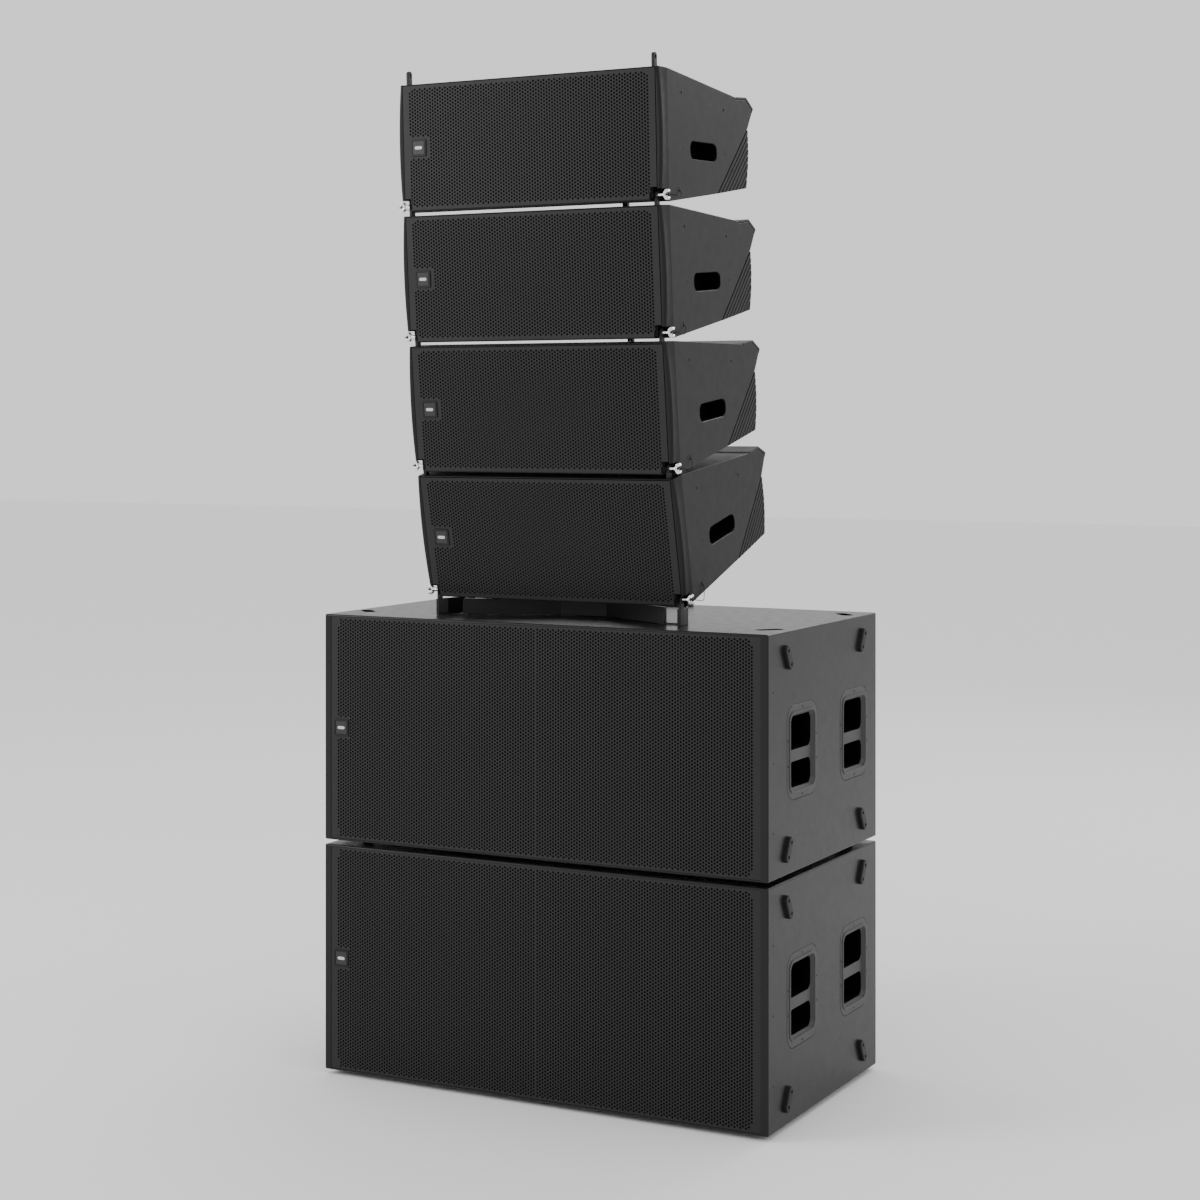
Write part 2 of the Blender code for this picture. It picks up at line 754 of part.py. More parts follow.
def array_waveguide(number, pivot):
    """A flange in the baffle with a wedge-shaped mouth, its body and the compression driver behind."""
    name = f"array_{number}_waveguide"
    seat = BAFFLE_FRONT - GAP
    flange = box(
        name,
        (-HORN_HALF[0], seat - 0.004, MIDDLE - HORN_HALF[1]),
        (HORN_HALF[0], seat, MIDDLE + HORN_HALF[1]),
        pivot,
        HORN_PLASTIC,
    )
    body_half = (HORN_HALF[0] - 0.013, HORN_HALF[1] - 0.013)
    join(
        flange,
        box(
            name + "_body",
            (-body_half[0], seat - 0.002, MIDDLE - body_half[1]),
            (body_half[0], 0.110, MIDDLE + body_half[1]),
            pivot,
        ),
    )
    mouth = [(-0.050, seat - 0.010), (0.050, seat - 0.010), (0.010, 0.095), (-0.010, 0.095)]
    cut(flange, prism(name + "_mouth", mouth, MIDDLE - 0.115, MIDDLE + 0.115, "XY", pivot))
    driver = turned(
        name + "_driver",
        ((0.0, 0.02), (0.052, 0.02), (0.060, 0.0), (0.060, -0.050), (0.0, -0.050)),
        16,
        (0, 0.120, MIDDLE),
        pivot,
        None,
    )
    join(flange, driver)


def fin_outline():
    """The wedge that fills the slanted rear, its back edge cut into ribs that run with the slant."""
    low, high, run, inward = shifted_rump(-0.0010)
    foot = Vector(FIN_FOOT)
    belly = (foot - low).normalized()
    crown = high + Vector((0.001, -0.001))
    rear = foot - crown
    points = [tuple(low + belly * 0.001), tuple(foot)]
    for rib in range(FIN_COUNT - 1, 0, -1):
        reach = rib / FIN_COUNT
        bulge = FIN_BULGE * (1 - (2 * reach - 1) ** 2)
        tip = crown + rear * reach + Vector((bulge, 0))
        inner_tip = tip + inward * GROOVE_WIDTH
        floor = run * -GROOVE_DEPTH
        points += [tuple(tip), tuple(tip + floor), tuple(inner_tip + floor), tuple(inner_tip)]
    points.append(tuple(crown))
    return points


def array_amplifier(number, pivot):
    """The finned rear wedge with the amplifier chassis on its inner side."""
    name = f"array_{number}_amplifier"
    wedge = prism(name, fin_outline(), -SIDE, SIDE, "YZ", pivot, COATED_ALUMINIUM)
    join(wedge, prism(name + "_chassis", chassis_outline(0), -AMP_HALF, AMP_HALF, "YZ", pivot))
    cut(
        wedge,
        box(
            name + "_rail_notch",
            (-RAIL_HALF - 0.001, RAIL_FRONT - 0.005, 0),
            (RAIL_HALF + 0.001, RAIL_BACK + 0.01, RAIL_HIGH),
            pivot,
        ),
    )


def bar_outline(low, high):
    """A link seen from the side: an upright bar with a round head."""
    half = LINK_WIDE / 2
    points = [(-half, low), (half, low)]
    for step in range(7):
        turn = math.pi * step / 6
        points.append((half * math.cos(turn), high - half + half * math.sin(turn)))
    return points


def array_link(number, side, word, pivot):
    """The front link: it stands in its channel, and its head reaches the pin of the cabinet above."""
    name = f"array_{number}_link_{word}"
    low, high = sorted((side * (LINK_X - LINK_THICK / 2), side * (LINK_X + LINK_THICK / 2)))
    link = prism(name, bar_outline(LINK_LOW, LINK_HIGH), low, high, "YZ", pivot, RIGGING_STEEL)
    cut(link, rod(name + "_hole", PIN_HOLE, low - 0.01, high + 0.01, (0, PITCH), 16, pivot))


def array_pin(number, side, word, pivot):
    """A quick-release pin: shank, crescent grip and push button."""
    name = f"array_{number}_pin_{word}"
    ends = sorted((side * PIN_INNER, side * (PIN_HANDLE_X + 0.002)))
    pin = rod(name, PIN_RADIUS, *ends, (0, 0), 12, pivot, BRIGHT_STEEL)
    grip = [
        (-0.0130, PIN_HANDLE_X + 0.002),
        (-0.0055, PIN_HANDLE_X - 0.0035),
        (0.0055, PIN_HANDLE_X - 0.0035),
        (0.0130, PIN_HANDLE_X + 0.002),
        (0.0130, PIN_HANDLE_X + 0.006),
        (0.0050, PIN_HANDLE_X + 0.002),
        (-0.0050, PIN_HANDLE_X + 0.002),
        (-0.0130, PIN_HANDLE_X + 0.006),
    ]
    outline = [(side * across, height) for height, across in grip]
    join(pin, prism(name + "_grip", outline, -0.0060, 0.0060, "XZ", pivot))
    ends = sorted((side * (PIN_HANDLE_X + 0.001), side * PIN_TIP))
    join(pin, rod(name + "_button", 0.0034, *ends, (0, 0), 10, pivot))


def rear_link(number, pivot, low, high):
    """The splay link: it slides in the rail below and its top stands in the rail above."""
    across, along = REAR_LINK_HALF
    box(
        f"array_{number}_rear_link",
        (-across, REAR_LINK_Y - along, low),
        (across, REAR_LINK_Y + along, high),
        pivot,
        RIGGING_STEEL,
    )


def pivot_at(number, where, tilt):
    empty = bpy.data.objects.new(f"array_{number}_pivot", None)
    PARTS.objects.link(empty)
    empty.location = (0, *where)
    empty.rotation_euler = (math.radians(tilt), 0, 0)
    return empty


def array_cabinets():
    """The four cabinets, each hung on the pins of the one below it."""
    pivots = {}
    where = PIN_4
    for number in (4, 3, 2, 1):
        tilt = math.radians(TILTS[number])
        pivot = pivots[number] = pivot_at(number, where, TILTS[number])
        where = (where[0] - PITCH * math.sin(tilt), where[1] + PITCH * math.cos(tilt))
        array_cabinet(number, pivot)
        array_grille(number, pivot)
        array_waveguide(number, pivot)
        array_amplifier(number, pivot)
        for side, word in ((-1, "left"), (1, "right")):
            seat = BAFFLE_FRONT - WOOFER_FLANGE - GAP
            centre = (side * WOOFER_X, seat, MIDDLE)
            woofer(f"array_{number}_woofer_{word}", WOOFER_RADIUS, 0.110, centre, pivot)
            array_link(number, side, word, pivot)
            array_pin(number, side, word, pivot)
        if number < 4:
            splay = math.radians(TILTS[number + 1] - TILTS[number])
            top = PITCH - REAR_LINK_Y * math.sin(splay)
            top += (RAIL_LOW + REAR_LINK_ENGAGED) * math.cos(splay)
            rear_link(number, pivots[number + 1], top - REAR_LINK_LENGTH, top)
    rear_link(4, pivots[4], ROD_LOW, ROD_HIGH)
    return pivots


# Stacking frame


def stacking_frame(pivot):
    """Two front posts with pin ears, low ties to a bent panel, a spine and the rear strut's tube."""
    name = "stacking_frame"
    floor = STACK_TOP + GAP
    y = SUB_CENTRE_Y
    frame = box(
        name,
        (-SPINE_HALF, y - 0.100, floor),
        (SPINE_HALF, y + SPINE_BACK, floor + PANEL_HEIGHT),
        look=RIGGING_STEEL,
    )
    rear_foot = box(
        name + "_rear_foot",
        (-0.110, y + 0.285, floor),
        (0.110, y + SPINE_BACK - 0.0003, floor + 0.012),
    )
    join(frame, rear_foot)
    bend = [(0.066, y - 0.100), (0.287, y - 0.2176), (0.287, y - 0.2036), (0.066, y - 0.086)]
    outline = [(-across, along) for across, along in bend]
    outline = bend + list(reversed(outline))
    top = floor + PANEL_HEIGHT - 0.0001
    join(frame, prism(name + "_panel", outline, floor + 0.0001, top, "XY"))
    for side in (-1, 1):
        outer = LINK_X + LINK_THICK / 2
        low, high = sorted((side * POST_INNER, side * outer))
        post = box(
            f"{name}_post_{side}",
            (low, y + POST_Y[0], floor + 0.0002),
            (high, y + POST_Y[1], STACK_TOP + POST_HEIGHT),
        )
        join(frame, post)
        near, far = sorted((side * 0.272, side * (POST_INNER + 0.004)))
        tie = box(
            f"{name}_tie_{side}",
            (near, y + TIE_Y[0], floor + 0.0003),
            (far, y + TIE_Y[1], floor + TIE_HEIGHT),
        )
        join(frame, tie)
        low, high = sorted((side * (LINK_X - LINK_THICK / 2), side * (outer - 0.0001)))
        ear = []
        for along, up in bar_outline(0.275, LINK_HIGH):
            ear.append((along + PIN_4[0], up + PIN_4[1] - LINK_HIGH + 0.0105))
        join(frame, prism(f"{name}_ear_{side}", ear, low, high, "YZ"))
        cut(frame, rod(f"{name}_ear_hole_{side}", PIN_HOLE, low - 0.01, high + 0.01, PIN_4, 16))
    tube = box(
        name + "_tube",
        (-STRUT_HALF, REAR_LINK_Y - STRUT_HALF, STRUT_LOW),
        (STRUT_HALF, REAR_LINK_Y + STRUT_HALF, STRUT_TOP),
        pivot,
    )
    join(frame, tube)
    across, along = (half + GAP for half in REAR_LINK_HALF)
    bore = box(
        name + "_bore",
        (-across, REAR_LINK_Y - along, STRUT_LOW + 0.008),
        (across, REAR_LINK_Y + along, STRUT_TOP + 0.02),
        pivot,
    )
    cut(frame, bore)


subwoofer("lower", 0.0)
subwoofer("upper", FOOT_HEIGHT + SUB_HEIGHT)
PIVOTS = array_cabinets()
stacking_frame(PIVOTS[4])
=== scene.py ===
"""Looks of a ground-stacked line array: four cabinets on a stacking frame above two subwoofers.

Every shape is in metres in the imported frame: X across the front, -Y towards the audience, +Z up.
An array cabinet is built once in the frame of its lower front pin and set at each pin and tilt.
"""

import math

import bmesh
import bpy
from mathutils import Matrix, Vector


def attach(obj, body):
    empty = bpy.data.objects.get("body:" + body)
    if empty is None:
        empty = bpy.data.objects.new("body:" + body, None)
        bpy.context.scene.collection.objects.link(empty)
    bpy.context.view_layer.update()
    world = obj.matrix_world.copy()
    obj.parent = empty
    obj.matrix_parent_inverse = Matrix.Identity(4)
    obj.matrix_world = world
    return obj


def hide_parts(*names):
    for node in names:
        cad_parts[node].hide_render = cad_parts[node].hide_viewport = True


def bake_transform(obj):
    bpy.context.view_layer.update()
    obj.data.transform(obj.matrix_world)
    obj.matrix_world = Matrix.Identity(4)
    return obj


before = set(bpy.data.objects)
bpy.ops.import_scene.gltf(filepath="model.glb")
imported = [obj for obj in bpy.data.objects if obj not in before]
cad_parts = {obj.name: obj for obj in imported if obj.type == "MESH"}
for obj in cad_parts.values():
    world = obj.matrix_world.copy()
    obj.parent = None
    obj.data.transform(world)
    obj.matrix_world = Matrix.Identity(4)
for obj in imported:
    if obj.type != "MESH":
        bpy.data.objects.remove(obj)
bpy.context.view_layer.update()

# Subwoofers
SUB_SIDE = 0.621
SUB_CENTRE_Y = 0.02575
SUB_FRONT = SUB_CENTRE_Y - 0.350
SUB_REAR = SUB_CENTRE_Y + 0.350
SUB_HEIGHT = 0.5795
SUB_EDGE = 0.019
SUB_LIP = 0.0055
SUB_BAFFLE = 0.040
SUB_ROUND = 0.0045
SUB_WOOFER = (0.300, 0.232)
FOOT_HEIGHT = 0.012
FOOT_SINK = 0.0046  # how far the upper feet stand in the cups of the lower lid
SUB_STEP = FOOT_HEIGHT + SUB_HEIGHT
STACK_TOP = 2 * SUB_STEP
FEET = ((0.570, -0.225), (0.570, 0.255))
PLATES = {"front": -0.145, "rear": 0.192}
PLATE_SIZE = (0.187, 0.226)
PLATE_DROP = 0.003
POCKETS = ((0.0015, 0.082), (-0.0885, -0.027))  # low and high, from the middle of the side
POCKET_WIDTH = 0.130
TRAY = (-0.0935, 0.0870)
TRAY_DEPTH = 0.006
HANDLE_SEAT = (0.158, 0.206)
SKID_Y, SKID_INSET = 0.240, 0.062
SKID_LEAN = math.radians(28)
REAR_PLATE_INSET = 0.098
SOCKETS = (-0.100, -0.060, 0.060, 0.100)
SOCKET_HEIGHT = 0.165
SUB_BADGE_X = -0.570
SUB_FIELD = 0.5846

# Array cabinets
PITCH = 0.327
TILTS = {1: 2.5, 2: 4.5, 3: 6.5, 4: 12.5}  # degrees forward from upright, 1 is the top cabinet
PIN_4 = (SUB_CENTRE_Y - 0.2373, STACK_TOP + 0.0648)
FRONT = -0.0175  # this and what follows are measured from the lower front pin
LOW, HIGH = -0.014, 0.3033
MIDDLE = (LOW + HIGH) / 2
SIDE = 0.360
BELLY_END = (0.309, 0.0145)
RUMP = ((0.5345, 0.2405), (0.498, 0.188))
BUMPER_OUTSIDE = ((0.4330, 0.2621), (0.4400, 0.2640), (0.4915, 0.2665), RUMP[0], (0.5262, 0.2286))
BUMPER_INSIDE = ((0.5225, 0.2310), (0.5275, 0.2383), (0.4900, 0.2605), (0.4330, 0.2580))
FIN_FOOT = (0.484, 0.035)
FINS = 8
CHEEK = (0.3605, 0.3675)
CHEEK_BACK = 0.032
GRILLE_HALF = 0.3515
GRILLE_LOW, GRILLE_HIGH = -0.0105, 0.2998
BAFFLE = 0.010
WOOFER = (0.200, 0.122)
HANDLE = (0.230, 0.115)
HANDLE_SIZE = (0.150, 0.044)
BADGE_X = -0.3080
FIELD = 0.3385
NOTCH = (0.3335, 0.0145, 0.0145)  # inner side, depth and height
LINK_X = 0.3425
RAIL = (0.030, 0.464, 0.5345, 0.040, 0.254)  # half width, front, rear, low and high
SLOT = (0.0088, 0.4945, 0.5265)  # half width, front and rear
REAR_LINK_Y = 0.5105
PIN_HOLE = 0.0053
ANCHOR = (0.0870, 0.0155)
BUTTON_END = 0.3765
CORD_RADIUS = 0.0008
GAP = 0.0004

# Stacking frame, with Y from the middle of the subwoofers
SPINE = (-0.100, 0.325)
POST_X = (0.3375, 0.3465)
POST_Y = (-0.250, -0.205)
POST_HEIGHT = 0.042
TIE_X = (0.272, 0.3415)
TIE_Y = (-0.216, -0.206)
BEND = ((0.066, -0.100), (0.287, -0.2176), (0.287, -0.2036), (0.066, -0.086))
GUSSET = ((0.3420, -0.2060), (0.3465, -0.2060), (0.3215, -0.1535), (0.3170, -0.1535))

# Camera and lamps
CAMERA_PLACE = (2.7985, -5.31555, 1.6978)
CAMERA_TURN = 27.689
LENS, LENS_SHIFT = 70, -0.1551
LAMPS = {"key": ((-5.0, -4.5, 3.5), 200), "side": ((6.0, 0.5, 3.0), 50), "back": ((1.0, 6.0, 5.0), 90)}
LAMP_SIZE = 3.0
LAMP_TARGET = (0, 0, 1.2)

# Perforation of the grilles
HOLE_PITCH = 0.0085
HOLE_RADIUS = 0.00302  # corner radius of a six-sided hole as open as a 5.5 mm round one


# Materials


def grey(level, warmth=0.0):
    """Linear colour of a grey given as a display level from 0 to 255."""
    value = (level / 255 / 1.055 + 0.055 / 1.055) ** 2.4
    return (value * (1 + warmth), value, value * (1 - warmth))


def surface(name, colour, rough, metal=0.0, grain=(), mottle=0.05, stretch=None, gloss=0.5):
    """A finish with drifting tone, uneven roughness and grain: (scale per metre, depth in metres)."""
    made = bpy.data.materials.new(name)
    made.use_nodes = True
    nodes, links = made.node_tree.nodes, made.node_tree.links
    shader = nodes["Principled BSDF"]
    shader.inputs["Metallic"].default_value = metal
    shader.inputs["Specular IOR Level"].default_value = gloss
    where = nodes.new("ShaderNodeTexCoord").outputs["Object"]
    if stretch:
        mapping = nodes.new("ShaderNodeMapping")
        mapping.inputs["Scale"].default_value = stretch
        links.new(where, mapping.inputs["Vector"])
        where = mapping.outputs["Vector"]

    def noise(scale, detail):
        node = nodes.new("ShaderNodeTexNoise")
        node.inputs["Scale"].default_value = scale
        node.inputs["Detail"].default_value = detail
        links.new(where, node.inputs["Vector"])
        return node.outputs["Fac"]

    def ranged(source, low, high):
        node = nodes.new("ShaderNodeMapRange")
        node.inputs["From Min"].default_value = 0.3
        node.inputs["From Max"].default_value = 0.7
        node.inputs["To Min"].default_value = low
        node.inputs["To Max"].default_value = high
        links.new(source, node.inputs["Value"])
        return node.outputs["Result"]

    tone = nodes.new("ShaderNodeMix")
    tone.data_type = "RGBA"
    tone.inputs["A"].default_value = (*(c * (1 - mottle) for c in colour), 1)
    tone.inputs["B"].default_value = (*(c * (1 + mottle) for c in colour), 1)
    links.new(ranged(noise(7.0, 5.0), 0, 1), tone.inputs["Factor"])
    links.new(tone.outputs["Result"], shader.inputs["Base Color"])
    links.new(ranged(noise(38.0, 4.0), rough - 0.03, rough + 0.03), shader.inputs["Roughness"])
    normal = None
    for scale, depth in grain:
        bump = nodes.new("ShaderNodeBump")
        bump.inputs["Strength"].default_value = 0.8
        bump.inputs["Distance"].default_value = depth
        links.new(noise(scale, 3.0), bump.inputs["Height"])
        if normal:
            links.new(normal, bump.inputs["Normal"])
        normal = bump.outputs["Normal"]
    if normal:
        links.new(normal, shader.inputs["Normal"])
    return made


PAINT = surface("textured_paint", grey(25), 0.42, gloss=0.17, grain=((420, 0.0001), (1300, 0.0001)))
SUB_PAINT = surface("sub_paint", grey(28), 0.30, gloss=0.20, grain=((420, 0.00006), (1300, 0.00005)))
# Painted shade: the cove behind the round front edge is coloured near black for the shade that falls
# in it.
COVE_SHADE = surface("cove_painted_shade", grey(9), 0.60, gloss=0.2, grain=((900, 0.0001),))
STEEL = surface("grille_coat", grey(28, 0.03), 0.46, gloss=0.28, grain=((1500, 0.00005),))
BACKING = surface("grille_backing", grey(12), 0.90, gloss=0.15, grain=((900, 0.0002),))
BLACK = surface("black_plastic", grey(12), 0.42, gloss=0.35, grain=((900, 0.0001),))
FIN = surface("moulded_fins", grey(22), 0.42, gloss=0.17, grain=((900, 0.0001),))
# Painted shade: near black laid in pockets, recesses, cups, socket wells, behind the grilles and
# between the fins, where shade falls; it is also the knob's own black.
SHADE_AND_BLACK = surface("painted_shade_and_black", grey(4), 0.70, gloss=0.04, grain=((700, 0.0002),))
GRIP = surface("handle_plate", grey(50), 0.44, gloss=0.3, grain=((1000, 0.00008),))
RIG = surface("rigging_steel", grey(20), 0.40, 0.2, gloss=0.35, grain=((500, 0.0001),))
BRIGHT = surface("bright_steel", grey(235), 0.16, 1.0, grain=((600, 0.00003),))
SCREW = surface("screw_steel", grey(9), 0.34, 0.5, grain=((900, 0.00005),))
RUBBER = surface("rubber", grey(20), 0.50, gloss=0.3, grain=((900, 0.0001),))
CONE = surface("paper_cone", grey(20), 0.75, gloss=0.3, grain=((500, 0.0004),))
HORN = surface("waveguide_plastic", grey(16), 0.45, gloss=0.3, grain=((900, 0.0001),))
PANEL = surface(
    "amplifier_panel", grey(36), 0.38, 0.4, gloss=0.4, grain=((700, 0.0001),), stretch=(1, 1, 0.2)
)
BADGE = surface("badge_frame", grey(8), 0.45, gloss=0.3, grain=((900, 0.0001),))
BADGE_FACE = surface("badge_face", grey(36), 0.40, gloss=0.4, grain=((900, 0.0001),))
INLAY = surface("badge_inlay", grey(190), 0.30, 0.4, grain=((900, 0.00005),))
CORD = surface("braided_cord", grey(7), 0.70, gloss=0.2, grain=((1500, 0.0002),))
CABINET_SIDE = (PAINT, SHADE_AND_BLACK, RIG)


# Shapes


def flat(outline, station, axis):
    """An outline as points: axis X takes (y, z), axis Y takes (x, z) and axis Z takes (x, y)."""
    if axis == "X":
        return [(station, a, b) for a, b in outline]
    if axis == "Y":
        return [(a, station, b) for a, b in outline]
    return [(a, b, station) for a, b in outline]


def loft(rings):
    """A closed solid through rings of equal length."""
    bm = bmesh.new()
    drawn = [[bm.verts.new(point) for point in ring] for ring in rings]
    for one, two in zip(drawn, drawn[1:]):
        for i in range(len(one)):
            j = (i + 1) % len(one)
            bm.faces.new((one[i], one[j], two[j], two[i]))
    bm.faces.new(list(reversed(drawn[0])))
    bm.faces.new(drawn[-1])
    bmesh.ops.recalc_face_normals(bm, faces=bm.faces)
    return bm


def soften(bm, width, segments=2, angle=25.0):
    """Rounds the edges that turn by more than an angle in degrees."""
    edges = [e for e in bm.edges if len(e.link_faces) == 2]
    sharp = [e for e in edges if e.calc_face_angle() > math.radians(angle)]
    shape = {"segments": segments, "profile": 0.5, "affect": "EDGES", "clamp_overlap": True}
    bmesh.ops.bevel(bm, geom=sharp, offset=width, **shape)
    return bm


def prism(outline, low, high, axis, bevel=0.0, segments=2, angle=25.0):
    """An outline drawn out along an axis from low to high."""
    bm = loft([flat(outline, low, axis), flat(outline, high, axis)])
    if bevel:
        soften(bm, bevel, segments, angle)
    return bm


def block(low, high, bevel=0.0, segments=2):
    outline = ((low[0], low[1]), (high[0], low[1]), (high[0], high[1]), (low[0], high[1]))
    return prism(outline, low[2], high[2], "Z", bevel, segments)


def circle(centre, radius, steps=24):
    turns = [2 * math.pi * i / steps for i in range(steps)]
    return [(centre[0] + radius * math.cos(t), centre[1] + radius * math.sin(t)) for t in turns]


def turned(profile, centre, axis, steps=24):
    """A profile of (station, radius) turned about a line through centre that runs along an axis."""
    return loft([flat(circle(centre, radius, steps), at, axis) for at, radius in profile])


def rounded(centre, size, radius, steps=6):
    """The outline of a rectangle with round corners."""
    half = (size[0] / 2 - radius, size[1] / 2 - radius)
    points = []
    for corner, (sx, sy) in enumerate(((1, 1), (-1, 1), (-1, -1), (1, -1))):
        for step in range(steps + 1):
            turn = math.pi / 2 * (corner + step / steps)
            across = centre[0] + sx * half[0] + radius * math.cos(turn)
            points.append((across, centre[1] + sy * half[1] + radius * math.sin(turn)))
    return points


def capsule(centre, length, width, lean, steps=10):
    """The outline of a slot with round ends, leaning from upright."""
    points = []
    for end, start in ((1, 0.0), (-1, math.pi)):
        for step in range(steps + 1):
            turn = start + math.pi * step / steps
            across = width / 2 * math.cos(turn)
            points.append((across, end * (length - width) / 2 + width / 2 * math.sin(turn)))
    spin = Matrix.Rotation(-lean, 2)
    return [tuple(Vector(centre) + spin @ Vector(point)) for point in points]


def mesh_of(*solids):
    """One mesh of several separate solids."""
    made = bpy.data.meshes.new("shape")
    whole = bmesh.new()
    for bm in solids:
        part = bpy.data.meshes.new("part")
        bm.to_mesh(part)
        bm.free()
        whole.from_mesh(part)
        bpy.data.meshes.remove(part)
    whole.to_mesh(made)
    whole.free()
    return made


def mesh_to_bm(mesh):
    bm = bmesh.new()
    bm.from_mesh(mesh)
    bpy.data.meshes.remove(mesh)
    return bm


def carved(base, cuts=(), joins=()):
    """The base with solids joined to it and others cut out of it, as one mesh."""
    helpers = []

    def helper(bm):
        made = bpy.data.objects.new("helper", mesh_of(bm))
        bpy.context.scene.collection.objects.link(made)
        helpers.append(made)
        return made

    body = helper(base)
    for operation, tools in (("UNION", joins), ("DIFFERENCE", cuts)):
        for tool in tools:
            step = body.modifiers.new("step", "BOOLEAN")
            step.operation = operation
            step.solver = "EXACT"
            step.object = helper(tool)
    graph = bpy.context.evaluated_depsgraph_get()
    made = bpy.data.meshes.new_from_object(body.evaluated_get(graph))
    for obj in helpers:
        bpy.data.objects.remove(obj)
    bm = bmesh.new()
    bm.from_mesh(made)
    bmesh.ops.remove_doubles(bm, verts=bm.verts, dist=0.000005)
    bmesh.ops.dissolve_degenerate(bm, edges=bm.edges, dist=0.000005)
    bm.to_mesh(made)
    bm.free()
    return made


def stain(mesh, index, test):
    """Gives the faces whose middle passes the test another of the piece's materials."""
    for face in mesh.polygons:
        if test(face.center, face.normal):
            face.material_index = index


def keep_panels_flat(mesh):
    """Marks the edges of broad flat panels sharp, so that a rounded edge doesn't bend their shade."""
    planes, angle = {}, math.radians(3)

    def plane(face):
        centre = face.calc_center_median()
        return (*(round(v, 2) for v in face.normal), round(centre.dot(face.normal), 3))

    bm = bmesh.new()
    bm.from_mesh(mesh)
    for face in bm.faces:
        planes[plane(face)] = planes.get(plane(face), 0) + face.calc_area()
    for edge in bm.edges:
        if len(edge.link_faces) == 2 and edge.calc_face_angle(0) > angle:
            if any(planes[plane(face)] > 0.004 for face in edge.link_faces):
                edge.smooth = False
    bm.to_mesh(mesh)
    bm.free()


def piece(name, mesh, looks, body, nodes=(), matrix=None, smooth=32.0):
    """A shown piece: its own copy of the mesh, set in place, finished and ridden on its body."""
    data = mesh.copy()
    data.name = name
    if matrix is not None:
        data.transform(matrix)
    for look in looks if isinstance(looks, (list, tuple)) else [looks]:
        data.materials.append(look)
    made = bpy.data.objects.new(name, data)
    bpy.context.scene.collection.objects.link(made)
    if smooth:
        data.shade_smooth()
        data.set_sharp_from_angle(angle=math.radians(smooth))
        keep_panels_flat(data)
        even = made.modifiers.new("even_normals", "WEIGHTED_NORMAL")
        even.keep_sharp = True
    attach(made, body)
    if nodes:
        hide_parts(*nodes)
    return made


# Perforated plates


def hexagon(centre, radius):
    turns = [math.pi / 3 * k for k in range(6)]
    return [(centre[0] + radius * math.cos(t), centre[1] + radius * math.sin(t)) for t in turns]


def perforated(outline, span, solid, front, back):
    """A plate in the XZ plane with staggered six-sided holes.

    outline is the plate's edge and span the (x, z) limits of the holes. Where a limit is x = 0
    the first column of holes touches it, so that two halves meet in one pattern. solid says of a
    place (x, height from the nearer end, z) whether the plate has no hole there.
    """
    across = HOLE_PITCH * math.sqrt(3) / 2
    cell = HOLE_PITCH / math.sqrt(3)
    (x0, x1), (z0, z1) = span
    margin = cell * 0.9
    columns = int((x1 - x0 - 2 * margin) / across)
    rows = int((z1 - z0 - 2 * margin) / HOLE_PITCH)
    left = (x0 + x1 - columns * across) / 2
    if x0 == 0:
        left = cell + 0.00005
    if x1 == 0:
        left = -cell - 0.00005 - columns * across
    shift = 1 if x1 == 0 and columns % 2 == 0 else 0
    low = (z0 + z1 - rows * HOLE_PITCH) / 2
    points, index, faces = [], {}, []

    def vertex(x, z):
        key = (round(x * 1e5), round(z * 1e5))
        for dx in (0, -1, 1):
            for dz in (0, -1, 1):
                if (key[0] + dx, key[1] + dz) in index:
                    return index[(key[0] + dx, key[1] + dz)]
        index[key] = len(points)
        points.append((x, z))
        return index[key]

    for column in range(columns + 1):
        x = left + column * across
        odd = (column + shift) % 2
        for row in range(rows + 1 - odd):
            z = low + (row + odd / 2) * HOLE_PITCH
            if solid(x, min(z - z0, z1 - z), z):
                continue
            outer = [vertex(*p) for p in hexagon((x, z), cell)]
            first = len(points)
            points.extend(hexagon((x, z), HOLE_RADIUS))
            for k in range(6):
                after = (k + 1) % 6
                faces.append((outer[k], outer[after], first + after, first + k))
    bm = bmesh.new()
    verts = [bm.verts.new((x, front, z)) for x, z in points]
    for face in faces:
        bm.faces.new([verts[i] for i in face])
    shared = set(index.values())
    inner = {verts[i] for i in range(len(points)) if i not in shared}
    rims = [e for e in bm.edges if len(e.link_faces) == 1]
    border = [e for e in rims if not inner.intersection(e.verts)]
    edge = [bm.verts.new((x, front, z)) for x, z in outline]
    ring = [bm.edges.new((edge[i], edge[(i + 1) % len(edge)])) for i in range(len(edge))]
    bmesh.ops.triangle_fill(bm, use_beauty=True, use_dissolve=False, edges=border + ring)
    bm.verts.ensure_lookup_table()
    bm.verts.index_update()
    flat_faces = []
    for face in bm.faces:
        loop = [v.index for v in face.verts]
        if face.normal.y > 0:
            loop.reverse()
        flat_faces.append(loop)
    coordinates = [tuple(v.co) for v in bm.verts]
    bm.free()
    count = len(coordinates)
    coordinates += [(x, back, z) for x, _, z in coordinates]
    used = {(a, b) for loop in flat_faces for a, b in zip(loop, loop[1:] + loop[:1])}
    walls = [(b, a, a + count, b + count) for a, b in used if (b, a) not in used]
    rear = [[i + count for i in reversed(loop)] for loop in flat_faces]
    made = bpy.data.meshes.new("perforated")
    made.from_pydata(coordinates, [], flat_faces + rear + sorted(walls))
    made.update()
    return made


def badge_parts(centre, front):
    """A blank square badge: a dark frame, a face set into it and a plain inlay."""
    ring = (front + 0.0006, front - 0.0022)
    rim = prism(rounded(centre, (0.043, 0.043), 0.004), *ring, "Y", 0.0006)
    well = prism(rounded(centre, (0.0345, 0.0345), 0.002), front - 0.0012, front - 0.004, "Y")
    face = prism(rounded(centre, (0.0325, 0.0325), 0.002), front, front - 0.0018, "Y", 0.0004)
    inlay = prism(rounded(centre, (0.021, 0.0075), 0.0035), front - 0.001, front - 0.0023, "Y")
    return carved(rim, [well]), mesh_of(face), mesh_of(inlay)


